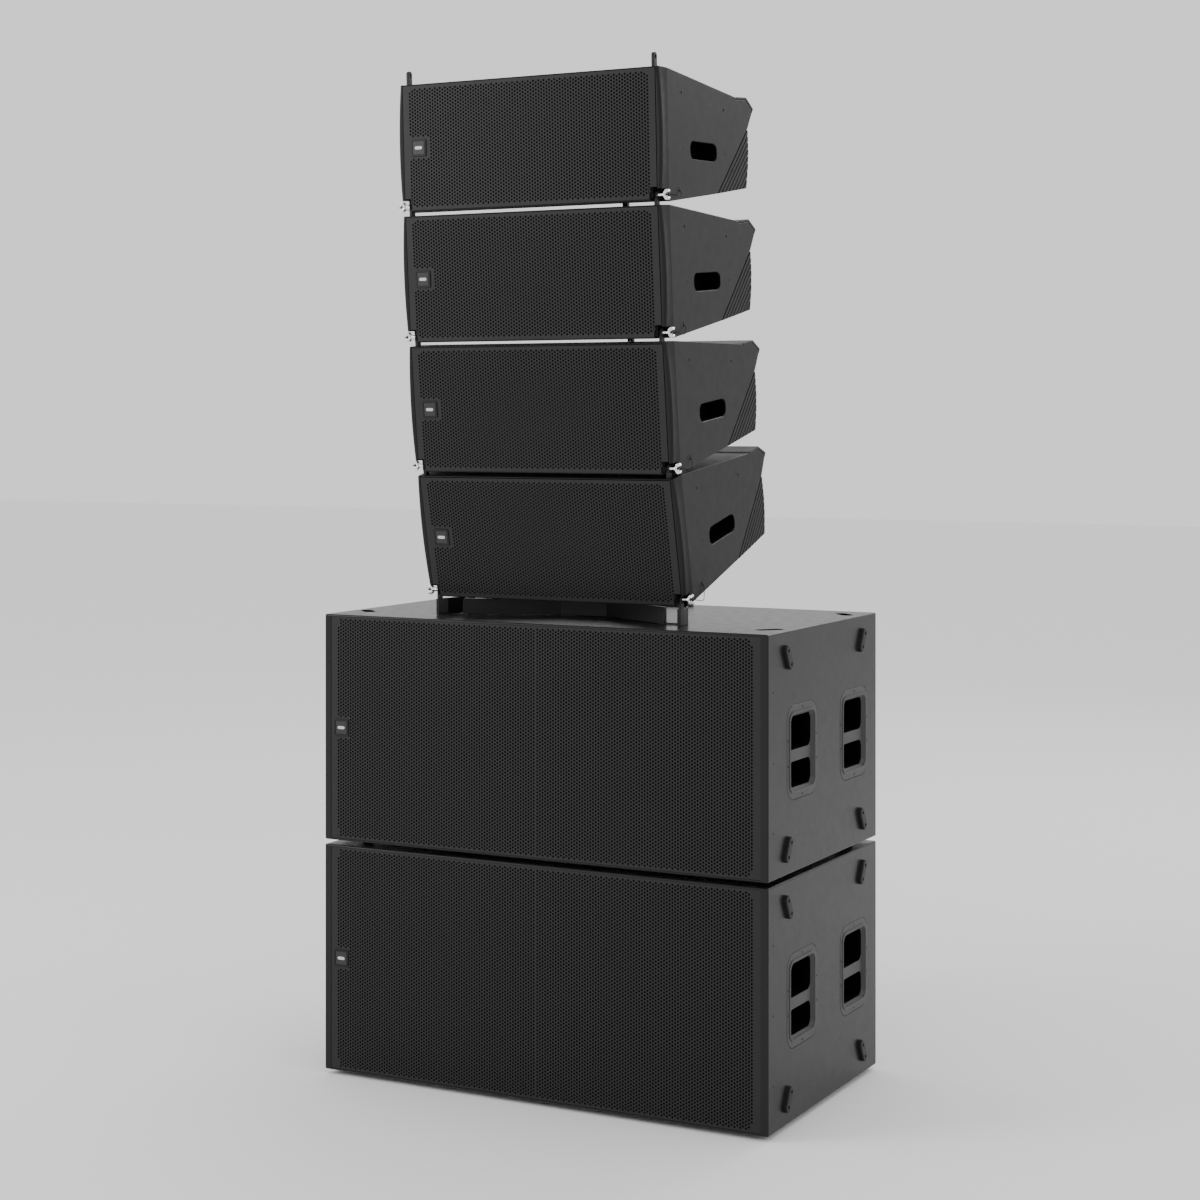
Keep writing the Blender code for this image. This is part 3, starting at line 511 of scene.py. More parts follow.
def screw_head(centre, radius, station, outward, axis="X"):
    """A low round head, and the cutter for its six-sided socket."""
    top = station + outward * 0.0012
    profile = [(station - outward * 0.003, radius), (station + outward * 0.0007, radius)]
    head = turned([*profile, (top, radius * 0.72)], centre, axis, 18)
    ends = (top - outward * 0.0012, top + outward * 0.002)
    return head, turned([(at, radius * 0.42) for at in ends], centre, axis, 6)


def screws(places, radius, station, outward, axis="X"):
    parts = [screw_head(place, radius, station, outward, axis) for place in places]
    return mesh_of(*(mesh_to_bm(carved(head, [socket])) for head, socket in parts))


# Array cabinets


def slope(along, sign):
    """Height of the top (sign 1) or bottom (sign -1) of the shell at a distance from the pin."""
    fall = max(along - 0.040, 0) * math.tan(math.radians(6))
    return MIDDLE + sign * (MIDDLE - LOW - fall)


def slant():
    """Start, end and inward normal of the slanted line in front of the fins."""
    start, end = Vector(BELLY_END), Vector(RUMP[1])
    run = (end - start).normalized()
    return start, end, Vector((-run.y, run.x))


def side_outline():
    """The side of the shell up to the slanted line, as (y, z) from the front pin."""
    return [
        (FRONT + 0.003, LOW),
        (0.040, LOW),
        BELLY_END,
        RUMP[1],
        (0.5255, 0.2279),
        *((y - 0.0002, z - 0.0002) for y, z in BUMPER_INSIDE),
        (0.4320, slope(0.4320, 1)),
        (0.040, HIGH),
        (FRONT + 0.003, HIGH),
    ]


def cheek_mesh():
    """The bowed right front corner: a round edge, then a cove back to the side panel."""
    rings = []
    for step in range(25):
        height = LOW + (HIGH - LOW) * step / 24
        bow = 1 - (step / 12 - 1) ** 2
        edge = CHEEK[0] + (CHEEK[1] - CHEEK[0]) * bow
        ring = [(GRILLE_HALF + 0.0008, FRONT + 0.0006), (edge - 0.0072, FRONT)]
        for k in range(1, 7):
            turn = math.pi / 2 * k / 6
            ring.append((edge - 0.0072 * (1 - math.sin(turn)), FRONT + 0.0072 * (1 - math.cos(turn))))
        start = (edge, FRONT + 0.0072)
        for k in range(1, 8):
            share = k / 7
            inward = (start[0] - SIDE - 0.0003) * (1 - (1 - share) ** 2.2)
            ring.append((start[0] - inward, start[1] + (CHEEK_BACK - start[1]) * share))
        ring += [(SIDE - 0.004, CHEEK_BACK), (GRILLE_HALF + 0.0008, FRONT + 0.020)]
        rings.append([(x, y, height) for x, y in ring])
    notch = block((NOTCH[0], FRONT - 0.01, LOW - 0.01), (SIDE + 0.03, NOTCH[1], NOTCH[2]))
    made = carved(soften(loft(rings), 0.0012, 1, 60), [notch])
    # The cove faces take the second material, a near-black painted shade.
    stain(made, 1, lambda c, n: n.x > 0.3 and c.x > SIDE - 0.0012 and FRONT + 0.0085 < c.y < 0.0318)
    return made


def pocket_cutter(centre, size, radius, side, depth, flare=0.002):
    """A blind pocket with a flared rim, cut inwards from a side panel."""
    rings = []
    face = side * SIDE
    for out, wide in ((0.003, flare + 0.003), (-flare, 0.0), (-0.020, 0.0), (-depth, -0.004)):
        grown = (size[0] + 2 * wide, size[1] + 2 * wide)
        rings.append(flat(rounded(centre, grown, radius + wide), face + side * out, "X"))
    return loft(rings)


def array_cabinet_mesh():
    base = prism(side_outline(), -SIDE, SIDE, "X", 0.0035, 3)
    cuts = [
        block(
            (-GRILLE_HALF - GAP, FRONT - 0.01, GRILLE_LOW - GAP),
            (GRILLE_HALF + GAP, FRONT + 0.0045, GRILLE_HIGH + GAP),
        ),
        block((-0.3225, FRONT - 0.02, 0.002), (0.3225, BAFFLE, 0.2885)),
        block((-0.058, FRONT, MIDDLE - 0.128), (0.058, 0.112, MIDDLE + 0.128)),
    ]
    rail = block((-RAIL[0], RAIL[1], RAIL[3]), (RAIL[0], RAIL[2], RAIL[4]), 0.0015)
    half, near, far = SLOT
    cuts.append(block((-half, near, RAIL[3] - 0.02), (half, far, RAIL[4] + 0.02)))
    for side in (-1, 1):
        well = ((FRONT, 0.905 * WOOFER[1]), (0.125, 0.905 * WOOFER[1]))
        cuts.append(turned(well, (side * WOOFER[0], MIDDLE), "Y", 48))
        cuts.append(pocket_cutter(HANDLE, HANDLE_SIZE, 0.0185, side, 0.050))
        low, high = sorted((side * (LINK_X - 0.0046), side * (LINK_X + 0.0046)))
        cuts.append(block((low, -0.0086, 0.172), (high, 0.0086, HIGH + 0.01)))
        low, high = sorted((side * NOTCH[0], side * (SIDE + 0.03)))
        cuts.append(block((low, FRONT - 0.01, LOW - 0.01), (high, NOTCH[1], NOTCH[2])))
        hole = sorted((side * 0.302, side * 0.345))
        cuts.append(turned([(at, PIN_HOLE) for at in hole], (0, 0), "X"))
    made = carved(base, cuts, [rail])

    def in_pocket(c, n):
        return abs(c.x) < SIDE - 0.0019 and 0.14 < c.y < 0.32 and 0.08 < c.z < 0.15

    def faces_front(c, n):
        return c.y > FRONT + 0.004 and n.y < -0.5

    def behind_grille(c, n):
        return abs(c.x) < 0.3226 and FRONT < c.y < 0.13 and 0.0 < c.z < 0.29

    def in_notch(c, n):
        return abs(c.x) >= NOTCH[0] - 1e-4 and c.y < NOTCH[1] + 1e-4 and c.z < NOTCH[2] + 1e-4

    def on_rail(c, n):
        return abs(c.x) < RAIL[0] + 1e-4 and c.y > RAIL[1] + 0.0016

    # Painted shade: the handle pockets and the faces seen through the grille take the second material;
    # the notch and the rail take the third, steel.
    for index, tests in ((1, (in_pocket, faces_front, behind_grille)), (2, (in_notch, on_rail))):
        for test in tests:
            stain(made, index, test)
    return made


def clipped(outline, point, normal):
    """The part of a convex outline on the normal's side of a line."""
    kept = []
    for i, here in enumerate(outline):
        there = outline[(i + 1) % len(outline)]
        a, b = (here - point).dot(normal), (there - point).dot(normal)
        if a >= 0:
            kept.append(here)
        if (a >= 0) != (b >= 0):
            kept.append(here.lerp(there, a / (a - b)))
    return kept


def fin_meshes():
    """The rear wedge: ribs that run with the slant, and the core that shows between them."""
    start, end, inward = slant()
    foot = Vector(FIN_FOOT)
    wedge = [start.copy(), foot]
    for step in range(1, 16):
        share = step / 16
        bulge = 0.008 * (1 - (2 * share - 1) ** 2)
        wedge.append(foot.lerp(end, share) + Vector((bulge, 0)))
    wedge.append(end.copy())
    if sum(a.cross(b) for a, b in zip(wedge, wedge[1:] + wedge[:1])) < 0:
        wedge.reverse()
    outward = -inward
    depth = (foot - start).dot(outward)
    first, groove = 0.0030, 0.0024
    pitch = (depth - first) / FINS
    ribs = []
    for number in range(FINS):
        near = start + outward * (first + pitch * number)
        far = start + outward * (first + pitch * (number + 1) - groove)
        strip = clipped(wedge, near, outward)
        if number < FINS - 1:
            strip = clipped(strip, far, -outward)
        if len(strip) > 2:
            low, high = -SIDE + 0.0002, SIDE - 0.0002
            ribs.append(prism([tuple(p) for p in strip], low, high, "X", 0.0009, 2, 20))
    middle = sum(wedge, Vector((0, 0))) / len(wedge)
    core = [tuple(middle + (p - middle) * 0.955 - outward * 0.001) for p in wedge]
    core = prism(core, -SIDE + 0.005, SIDE - 0.005, "X")
    half = RAIL[0] + 0.001
    channel = block((-half, RAIL[1] - 0.02, -0.05), (half, 0.60, RAIL[4] + 0.01))
    ribbed = [mesh_to_bm(carved(rib, [channel.copy()])) for rib in ribs]
    return mesh_of(*ribbed), carved(core, [channel])


def bar(low, high, wide, thick, centre_x):
    """An upright bar with a round head, seen from the side."""
    half = wide / 2
    outline = [(-half, low), (half, low)]
    for step in range(17):
        turn = math.pi * step / 16
        outline.append((half * math.cos(turn), high - half + half * math.sin(turn)))
    return prism(outline, centre_x - thick / 2, centre_x + thick / 2, "X", 0.0008, 2, 50)


def link_mesh():
    """The right front link: a steel bar with its pin hole."""
    link = bar(0.205, 0.338, 0.016, 0.008, LINK_X)
    hole = turned([(0.33, PIN_HOLE), (0.36, PIN_HOLE)], (0, PITCH), "X")
    return carved(link, [hole])


def pin_meshes():
    """The right pin: shank, two-winged grip, and a black button."""
    shank = turned(
        [(0.304, 0.0030), (0.3056, 0.0048), (0.3590, 0.0048), (0.3600, 0.0060), (0.3640, 0.0064)],
        (0, 0),
        "X",
        28,
    )
    grip = []
    for up in (1, -1):
        wing = [(0.3600, 0.0), (0.3625, 0.0062), (0.3655, 0.0112), (0.3690, 0.0135)]
        wing += [(0.3735, 0.0125), (0.3765, 0.0085), (0.3745, 0.0052), (0.3690, 0.0045)]
        wing += [(0.3670, 0.0)]
        outline = [(x, up * z) for x, z in wing]
        grip.append(prism(outline, -0.0052, 0.0052, "Y", 0.0012, 3, 30))
    button = turned(
        [(0.3640, 0.0031), (0.3745, 0.0031), (0.3755, 0.0022), (BUTTON_END, 0.0016)],
        (0, 0),
        "X",
        20,
    )
    return mesh_of(shank, *grip), mesh_of(button)


def rear_link_mesh(low, high, holes):
    """The splay link behind: a bar with a row of locking holes."""
    link = block((-0.008, REAR_LINK_Y - 0.006, low), (0.008, REAR_LINK_Y + 0.006, high), 0.0012)
    cuts = []
    for number in range(holes):
        height = low + 0.020 + number * (high - low - 0.040) / (holes - 1)
        ends = [(REAR_LINK_Y - 0.02, 0.0032), (REAR_LINK_Y + 0.02, 0.0032)]
        cuts.append(turned(ends, (0, height), "Y", 16))
    return carved(link, cuts)


def module_matrix(number):
    """Place and tilt of an array cabinet at its lower front pin, worked up from the lowest, 4."""
    where = PIN_4
    for below in range(4, number, -1):
        tilt = math.radians(TILTS[below])
        where = (where[0] - PITCH * math.sin(tilt), where[1] + PITCH * math.cos(tilt))
    tilt = math.radians(TILTS[number])
    return Matrix.Translation((0, *where)) @ Matrix.Rotation(tilt, 4, "X")


def flipped(mesh):
    """A mirrored copy of a right-hand mesh for the left."""
    made = mesh.copy()
    made.transform(Matrix.Diagonal((-1, 1, 1, 1)))
    made.flip_normals()
    return made


def both(mesh):
    """A right-hand mesh with its mirror for the left."""
    return {"right": mesh, "left": flipped(mesh)}


def smooth_path(knots, steps):
    """Points on a smooth curve through the knots (Catmull-Rom)."""
    ends = [knots[0] * 2 - knots[1], *knots, knots[-1] * 2 - knots[-2]]
    points = []
    for p0, p1, p2, p3 in zip(ends, ends[1:], ends[2:], ends[3:]):
        square, cube = 2 * p0 - 5 * p1 + 4 * p2 - p3, 3 * p1 - 3 * p2 + p3 - p0
        for step in range(steps):
            t = step / steps
            points.append(0.5 * (2 * p1 + (p2 - p0) * t + square * t**2 + cube * t**3))
    return points + [knots[-1]]


def tube(path, radius, sides=8):
    """A round cord along a path."""
    rings = []
    side_way = Vector((1, 0, 0))
    for i, point in enumerate(path):
        ahead = (path[min(i + 1, len(path) - 1)] - path[max(i - 1, 0)]).normalized()
        side_way = (side_way - ahead * side_way.dot(ahead)).normalized()
        up = ahead.cross(side_way)
        turns = [2 * math.pi * k / sides for k in range(sides)]
        rings.append([point + radius * (side_way * math.cos(t) + up * math.sin(t)) for t in turns])
    return mesh_of(loft(rings))


def lanyard(number, side, word, matrix):
    """The cord that keeps a pin on its cabinet, from an anchor in the side panel to the button."""
    name = f"array_{number}_lanyard_{word}"
    anchor = (matrix @ Vector((side * (SIDE + 0.0006), *ANCHOR))) - matrix.translation
    across = side * 0.001
    knots = [
        anchor,
        Vector((anchor.x + across * 2.5, anchor.y + 0.0020, anchor.z - 0.0045)),
        Vector((anchor.x + across * 4.5, anchor.y + 0.0015, anchor.z * 0.5)),
        Vector((side * 0.3715, 0.0690, 0.0010)),
        Vector((side * 0.3800, 0.0460, -0.0035)),
        Vector((side * 0.3850, 0.0220, -0.0032)),
        Vector((side * 0.3845, 0.0070, -0.0010)),
        Vector((side * BUTTON_END, 0.0000, 0.0000)),
    ]
    path = [point + matrix.translation for point in smooth_path(knots, 4)]
    mesh = tube(path, CORD_RADIUS)
    mesh.materials.append(CORD)
    mesh.shade_smooth()
    mesh.name = name
    cord = bpy.data.objects.new(name, mesh)
    bpy.context.scene.collection.objects.link(cord)
    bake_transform(cord)


def anchor_mesh():
    """The small T-shaped anchor of a lanyard in the right side panel."""
    face = SIDE - 0.0005
    head = prism(rounded(ANCHOR, (0.0034, 0.0115), 0.0015), face, face + 0.0016, "X")
    stem = prism(rounded((0.0800, 0.0158), (0.0150, 0.0024), 0.0010), face, face + 0.0012, "X")
    return mesh_of(head, stem)


def side_screws():
    """The dark screws of the right side panel of an array cabinet."""
    large = screws(((0.112, 0.251), (0.355, 0.225)), 0.0036, SIDE, 1)
    small = screws(((0.120, 0.117), (0.361, 0.115)), 0.0026, SIDE - 0.0006, 1)
    return mesh_of(mesh_to_bm(large), mesh_to_bm(small))


def bumper_mesh():
    outline, half = [*BUMPER_OUTSIDE, *BUMPER_INSIDE], SIDE + 0.0004
    return mesh_of(prism(outline, -half, half, "X", 0.0012, 2, 30))


def bumper_bolts():
    """Four bolts in a row on the chamfer of the bumper."""
    start, end = Vector(BUMPER_OUTSIDE[2]), Vector(RUMP[0])
    run = (end - start).normalized()
    normal = Vector((-run.y, run.x))
    if normal.y < 0:
        normal = -normal
    place = start.lerp(end, 0.5)
    parts = []
    for x in (-0.338, -0.120, 0.120, 0.338):
        head = turned([(-0.002, 0.0045), (0.0010, 0.0045), (0.0018, 0.0034)], (0, 0), "Z", 18)
        tilt = Matrix.Rotation(math.atan2(normal.x, normal.y), 4, "X").inverted()
        matrix = Matrix.Translation((x, place.x, place.y)) @ tilt
        bmesh.ops.transform(head, matrix=matrix, verts=head.verts)
        parts.append(head)
    return mesh_of(*parts)


def array_grille_mesh():
    low, high = GRILLE_LOW, GRILLE_HIGH
    inner = NOTCH[0] - 0.002
    step = NOTCH[2] + 0.004
    right = [(GRILLE_HALF, high), (GRILLE_HALF, step), (inner, step), (inner, low)]
    outline = right + [(-x, z) for x, z in reversed(right)]
    span = ((-FIELD, FIELD), (low + 0.0030, high - 0.0025))

    def solid(x, from_end, z):
        corner = (FIELD - abs(x)) / 0.030 + from_end / 0.019 < 1
        return corner or max(abs(x - BADGE_X), abs(z - MIDDLE)) < 0.0295

    return perforated(outline, span, solid, FRONT, FRONT + 0.002)


def build_array():
    cabinet = array_cabinet_mesh()
    cheeks = both(cheek_mesh())
    ribs, core = fin_meshes()
    grille = array_grille_mesh()
    bumper, bolts = bumper_mesh(), bumper_bolts()
    low, high = (-0.3400, FRONT + 0.0022, -0.0085), (0.3400, FRONT + 0.0042, 0.2985)
    backing = mesh_of(block(low, high))
    links, anchors, fixings = both(link_mesh()), both(anchor_mesh()), both(side_screws())
    pins, buttons = (both(mesh) for mesh in pin_meshes())
    rim, face, inlay = badge_parts((BADGE_X, MIDDLE), FRONT)
    for number in (1, 2, 3, 4):
        body, tag = f"array_{number}", f"array_{number}_"
        at = module_matrix(number)
        piece(tag + "shell", cabinet, CABINET_SIDE, body, [tag + "cabinet"], at)
        piece(tag + "fins", ribs, FIN, body, [tag + "amplifier"], at)
        # The core that shows between the ribs is painted shade.
        piece(tag + "fin_core", core, SHADE_AND_BLACK, body, [tag + "amplifier"], at)
        piece(tag + "perforated_front", grille, STEEL, body, [tag + "grille"], at, 0)
        piece(tag + "grille_backing", backing, BACKING, body, (), at)
        piece(tag + "bumper", bumper, BLACK, body, [tag + "cabinet"], at)
        piece(tag + "bumper_bolts", bolts, SCREW, body, (), at)
        piece(tag + "badge_frame", rim, BADGE, body, (), at)
        piece(tag + "badge_face", face, BADGE_FACE, body, (), at)
        piece(tag + "badge_inlay", inlay, INLAY, body, (), at)
        for word, side in (("left", -1), ("right", 1)):
            node = [tag + "cabinet"]
            piece(f"{tag}cheek_{word}", cheeks[word], (PAINT, COVE_SHADE), body, node, at)
            piece(f"{tag}side_screws_{word}", fixings[word], SCREW, body, (), at)
            piece(f"{tag}anchor_{word}", anchors[word], BLACK, body, (), at)
            link_body = f"top_link_{word}" if number == 1 else body
            node = [f"{tag}link_{word}"]
            piece(f"{tag}bar_{word}", links[word], RIG, link_body, node, at)
            pin_body = f"pin_{number}_{word}"
            node = [f"{tag}pin_{word}"]
            piece(f"{tag}pin_{word}_steel", pins[word], BRIGHT, pin_body, node, at)
            piece(f"{tag}pin_{word}_button", buttons[word], BLACK, pin_body, node, at)
            lanyard(number, side, word, at)
        build_rear_link(number)


def build_rear_link(number):
    node = f"array_{number}_rear_link"
    if number == 4:
        low, high, at, holes = -0.115, 0.070, module_matrix(4), 5
    else:
        splay = math.radians(TILTS[number + 1] - TILTS[number])
        high = PITCH - REAR_LINK_Y * math.sin(splay) + 0.070 * math.cos(splay)
        low, at, holes = high - 0.225, module_matrix(number + 1), 7
    mesh = rear_link_mesh(low, high, holes)
    piece(f"array_{number}_splay_bar", mesh, RIG, f"rear_link_{number}", [node], at)


# Subwoofers


def slot_loft(centre, size, lean, steps, axis):
    """A leaning slot shape drawn through (station, growth) steps."""
    shapes = [(capsule(centre, size[0] + grow, size[1] + grow, lean), at) for at, grow in steps]
    return loft([flat(shape, at, axis) for shape, at in shapes])


def sub_cabinet_mesh():
    """One subwoofer cabinet with its floor at z = 0, under feet that are separate pieces."""
    top = SUB_HEIGHT
    middle = top / 2
    base = block((-SUB_SIDE, SUB_FRONT, 0), (SUB_SIDE, SUB_REAR, top), SUB_ROUND, 5)
    inner = SUB_SIDE - SUB_EDGE
    cuts = [
        block((-inner, SUB_FRONT - 0.01, SUB_LIP), (inner, SUB_FRONT + 0.0044, top - SUB_LIP)),
        block(
            (-inner + 0.001, SUB_FRONT, SUB_EDGE),
            (inner - 0.001, SUB_FRONT + SUB_BAFFLE, top - SUB_EDGE),
        ),
        block(
            (-0.152, SUB_REAR - 0.030, REAR_PLATE_INSET),
            (0.152, SUB_REAR + 0.01, top - REAR_PLATE_INSET),
        ),
    ]
    for side in (-1, 1):
        reach = 0.90 * SUB_WOOFER[1] + 0.001
        well = ((SUB_FRONT, reach), (SUB_FRONT + 0.250, reach))
        cuts.append(turned(well, (side * SUB_WOOFER[0], middle), "Y", 64))
        for along in PLATES.values():
            centre = (SUB_CENTRE_Y + along, middle - PLATE_DROP)
            size = (PLATE_SIZE[0] + 0.0016, PLATE_SIZE[1] + 0.0016)
            face = side * SUB_SIDE
            low, high = sorted((face - side * 0.004, face + side * 0.01))
            cuts.append(prism(rounded(centre, size, 0.0408, 10), low, high, "X"))
            low, high = sorted((face - side * 0.080, face))
            cuts.append(prism(rounded(centre, HANDLE_SEAT, 0.030, 4), low, high, "X"))
        for across, along in FEET:
            lean = -side * math.copysign(math.radians(45), along)
            centre = (side * across, SUB_CENTRE_Y + along)
            steps = ((top - 0.005, 0.0), (top - 0.001, 0.0), (top + 0.002, 0.006))
            cuts.append(slot_loft(centre, (0.069, 0.029), lean, steps, "Z"))
    made = carved(base, cuts)

    def in_recess(c, n):
        level = SUB_LIP - 1e-4 < c.z < top - SUB_LIP + 1e-4
        return level and abs(c.x) < inner + 1e-4 and SUB_FRONT + 0.0042 < c.y < -0.03

    def in_seat(c, n):
        inward = SUB_SIDE - 0.09 < abs(c.x) < SUB_SIDE - 0.0005
        return inward and abs(c.y - SUB_CENTRE_Y) < 0.30 and 0.05 < c.z < top - 0.05

    def in_cup(c, n):
        level = top - 0.0052 < c.z < top - 0.0004
        return level and 0.5 < abs(c.x) < 0.612 and abs(c.y - SUB_CENTRE_Y) < 0.335

    # Painted shade: the recess behind the grille, the handle seats and the foot cups take the second
    # material.
    for test in (in_recess, in_seat, in_cup):
        stain(made, 1, test)
    return made


def plate_mesh(along, middle):
    """A right-hand handle plate: a rim, a sunk tray, and two deep pockets either side of a web."""
    centre = (SUB_CENTRE_Y + along, middle - PLATE_DROP)
    outer = SUB_SIDE + 0.0008
    edge = rounded(centre, PLATE_SIZE, 0.040, 10)
    chamfer = rounded(centre, (PLATE_SIZE[0] - 0.0024, PLATE_SIZE[1] - 0.0024), 0.0388, 10)
    steps = ((edge, SUB_SIDE - 0.0038), (edge, outer - 0.0012), (chamfer, outer))
    base = loft([flat(shape, at, "X") for shape, at in steps])
    edge, top = rounded(centre, (0.164, 0.196), 0.026, 8), rounded(centre, (0.158, 0.190), 0.023, 8)
    steps = ((edge, SUB_SIDE - 0.002), (edge, outer + 0.0010), (top, outer + 0.0022))
    rim = loft([flat(shape, at, "X") for shape, at in steps])
    cup = prism(rounded(centre, (0.156, 0.202), 0.028, 4), SUB_SIDE - 0.075, outer - 0.002, "X")
    tray_middle = middle + sum(TRAY) / 2
    size = (0.147, TRAY[1] - TRAY[0])
    rings = []
    for out, grow in ((0.0045, 0.008), (0.0018, 0.0036), (0.0, 0.001), (-TRAY_DEPTH, -0.0120)):
        grown = (size[0] + grow, size[1] + min(grow, 0.001))
        shape = rounded((centre[0], tray_middle), grown, 0.019 + grow / 4, 8)
        rings.append(flat(shape, outer + out, "X"))
    cuts = [loft(rings)]
    for low, high in POCKETS:
        spot = (centre[0], middle + (low + high) / 2)
        rings = []
        for out, grow in ((0.002, 0.004), (-0.0010, 0.0), (-0.055, -0.003)):
            shape = rounded(spot, (POCKET_WIDTH + grow, high - low + grow), 0.018, 8)
            rings.append(flat(shape, outer - TRAY_DEPTH + out, "X"))
        cuts.append(loft(rings))
    made = carved(base, cuts, [cup, rim])
    # Painted shade: the faces deeper than the tray floor, in the pockets and the cup, take the second
    # material.
    deep = outer - TRAY_DEPTH - 0.0014
    stain(made, 1, lambda c, n: c.x < deep and abs(c.y - centre[0]) < 0.0655)
    return made


def plate_screws(along, middle):
    """Ten screws round a handle plate, alike on both sides and above and below."""
    spots = []
    for y, z in ((0.0, 0.1050), (0.0700, 0.0880), (0.0875, 0.0300)):
        for back in (-1, 1) if y else (1,):
            for up in (-1, 1):
                spots.append((SUB_CENTRE_Y + along + back * y, middle - PLATE_DROP + up * z))
    return screws(spots, 0.0030, SUB_SIDE + 0.0004, 1)


def skid_meshes(middle):
    """The four side skids of the right side and their screws."""
    pads, spots = [], []
    profile = ((-0.002, 0.0), (0.0065, 0.0), (0.0088, -0.0018), (0.0100, -0.006))
    steps = [(SUB_SIDE + out, grow) for out, grow in profile]
    for back in (-1, 1):
        for level in (-1, 1):
            height = middle + level * (SUB_HEIGHT / 2 - SKID_INSET)
            centre = (SUB_CENTRE_Y + back * SKID_Y, height)
            lean = level * back * SKID_LEAN
            pad = slot_loft(centre, (0.064, 0.025), lean, steps, "X")
            holes = []
            for end in (-1, 1):
                spot = Vector(centre) + Matrix.Rotation(-lean, 2) @ Vector((0, end * 0.0185))
                ends = [(SUB_SIDE + out, 0.0042) for out in (0.006, 0.02)]
                holes.append(turned(ends, spot, "X", 18))
                spots.append(tuple(spot))
            pads.append(mesh_to_bm(carved(pad, holes)))
    return mesh_of(*pads), screws(spots, 0.0034, SUB_SIDE + 0.0062, 1)


def foot_mesh():
    """The four feet, turned 45 degrees at the corners."""
    pads = []
    steps = ((0.0, -0.005), (0.0022, 0.0), (FOOT_HEIGHT + 0.001, 0.0))
    for across, along in FEET:
        for side in (-1, 1):
            lean = -side * math.copysign(math.radians(45), along)
            centre = (side * across, SUB_CENTRE_Y + along)
            pads.append(slot_loft(centre, (0.065, 0.025), lean, steps, "Z"))
    return mesh_of(*pads)


def sub_grille_meshes():
    """The subwoofer grille in two halves that meet in the middle, for a cabinet floor at z = 0."""
    edge = SUB_SIDE - SUB_EDGE - GAP
    low, high = SUB_LIP + GAP, SUB_HEIGHT - SUB_LIP - GAP
    front, back = SUB_FRONT + 0.001, SUB_FRONT + 0.004
    halves = {}

    def solid(x, from_end, z):
        corner = SUB_FIELD - abs(x) < 0.012 and from_end < 0.0205
        return corner or max(abs(x - SUB_BADGE_X), abs(z - SUB_HEIGHT / 2)) < 0.0275

    for word, side in (("left", -1), ("right", 1)):
        outline = [(0, low), (side * edge, low), (side * edge, high), (0, high)]
        ends = sorted((0.0, side * SUB_FIELD))
        span = (tuple(ends), (low + 0.0012, high - 0.0012))
        halves[word] = perforated(outline, span, solid, front, back)
    return halves


def grille_screws():
    """The three faint screws behind the front edge of the right side."""
    spots = [(SUB_FRONT + 0.032, z) for z in (0.1110, 0.2760, 0.4410)]
    return screws(spots, 0.0032, SUB_SIDE - 0.0006, 1)


def rear_panel_meshes():
    """Sockets, knob and edge screws of the amplifier plate, for a cabinet floor at z = 0."""
    face = SUB_REAR - 0.002
    sockets, dark = [], []

    def round_part(x, profile, steps=32):
        stations = [(face + out, radius) for out, radius in profile]
        return turned(stations, (x, SOCKET_HEIGHT), "Y", steps)

    for x in SOCKETS:
        ring = round_part(x, ((-0.001, 0.0165), (0.0022, 0.0165), (0.003, 0.0150)))
        well = round_part(x, ((-0.01, 0.0125), (0.01, 0.0125)))
        sockets.append(mesh_to_bm(carved(ring, [well])))
        # A dark disc deep in each socket well is painted shade; the knob added next is black of its
        # own.
        dark.append(round_part(x, ((-0.0035, 0.0128), (-0.0005, 0.0128))))
    dark.append(round_part(0, ((-0.001, 0.0100), (0.0018, 0.0100), (0.0030, 0.0080)), 24))
    edge = [(x, z) for x in (-0.142, 0, 0.142) for z in (0.110, SUB_HEIGHT - 0.110)]
    edge += [(x, SUB_HEIGHT / 2) for x in (-0.142, 0.142)]
    fixings = screws(edge, 0.0034, face, 1, "Y")
    return mesh_of(*sockets), mesh_of(*dark), fixings


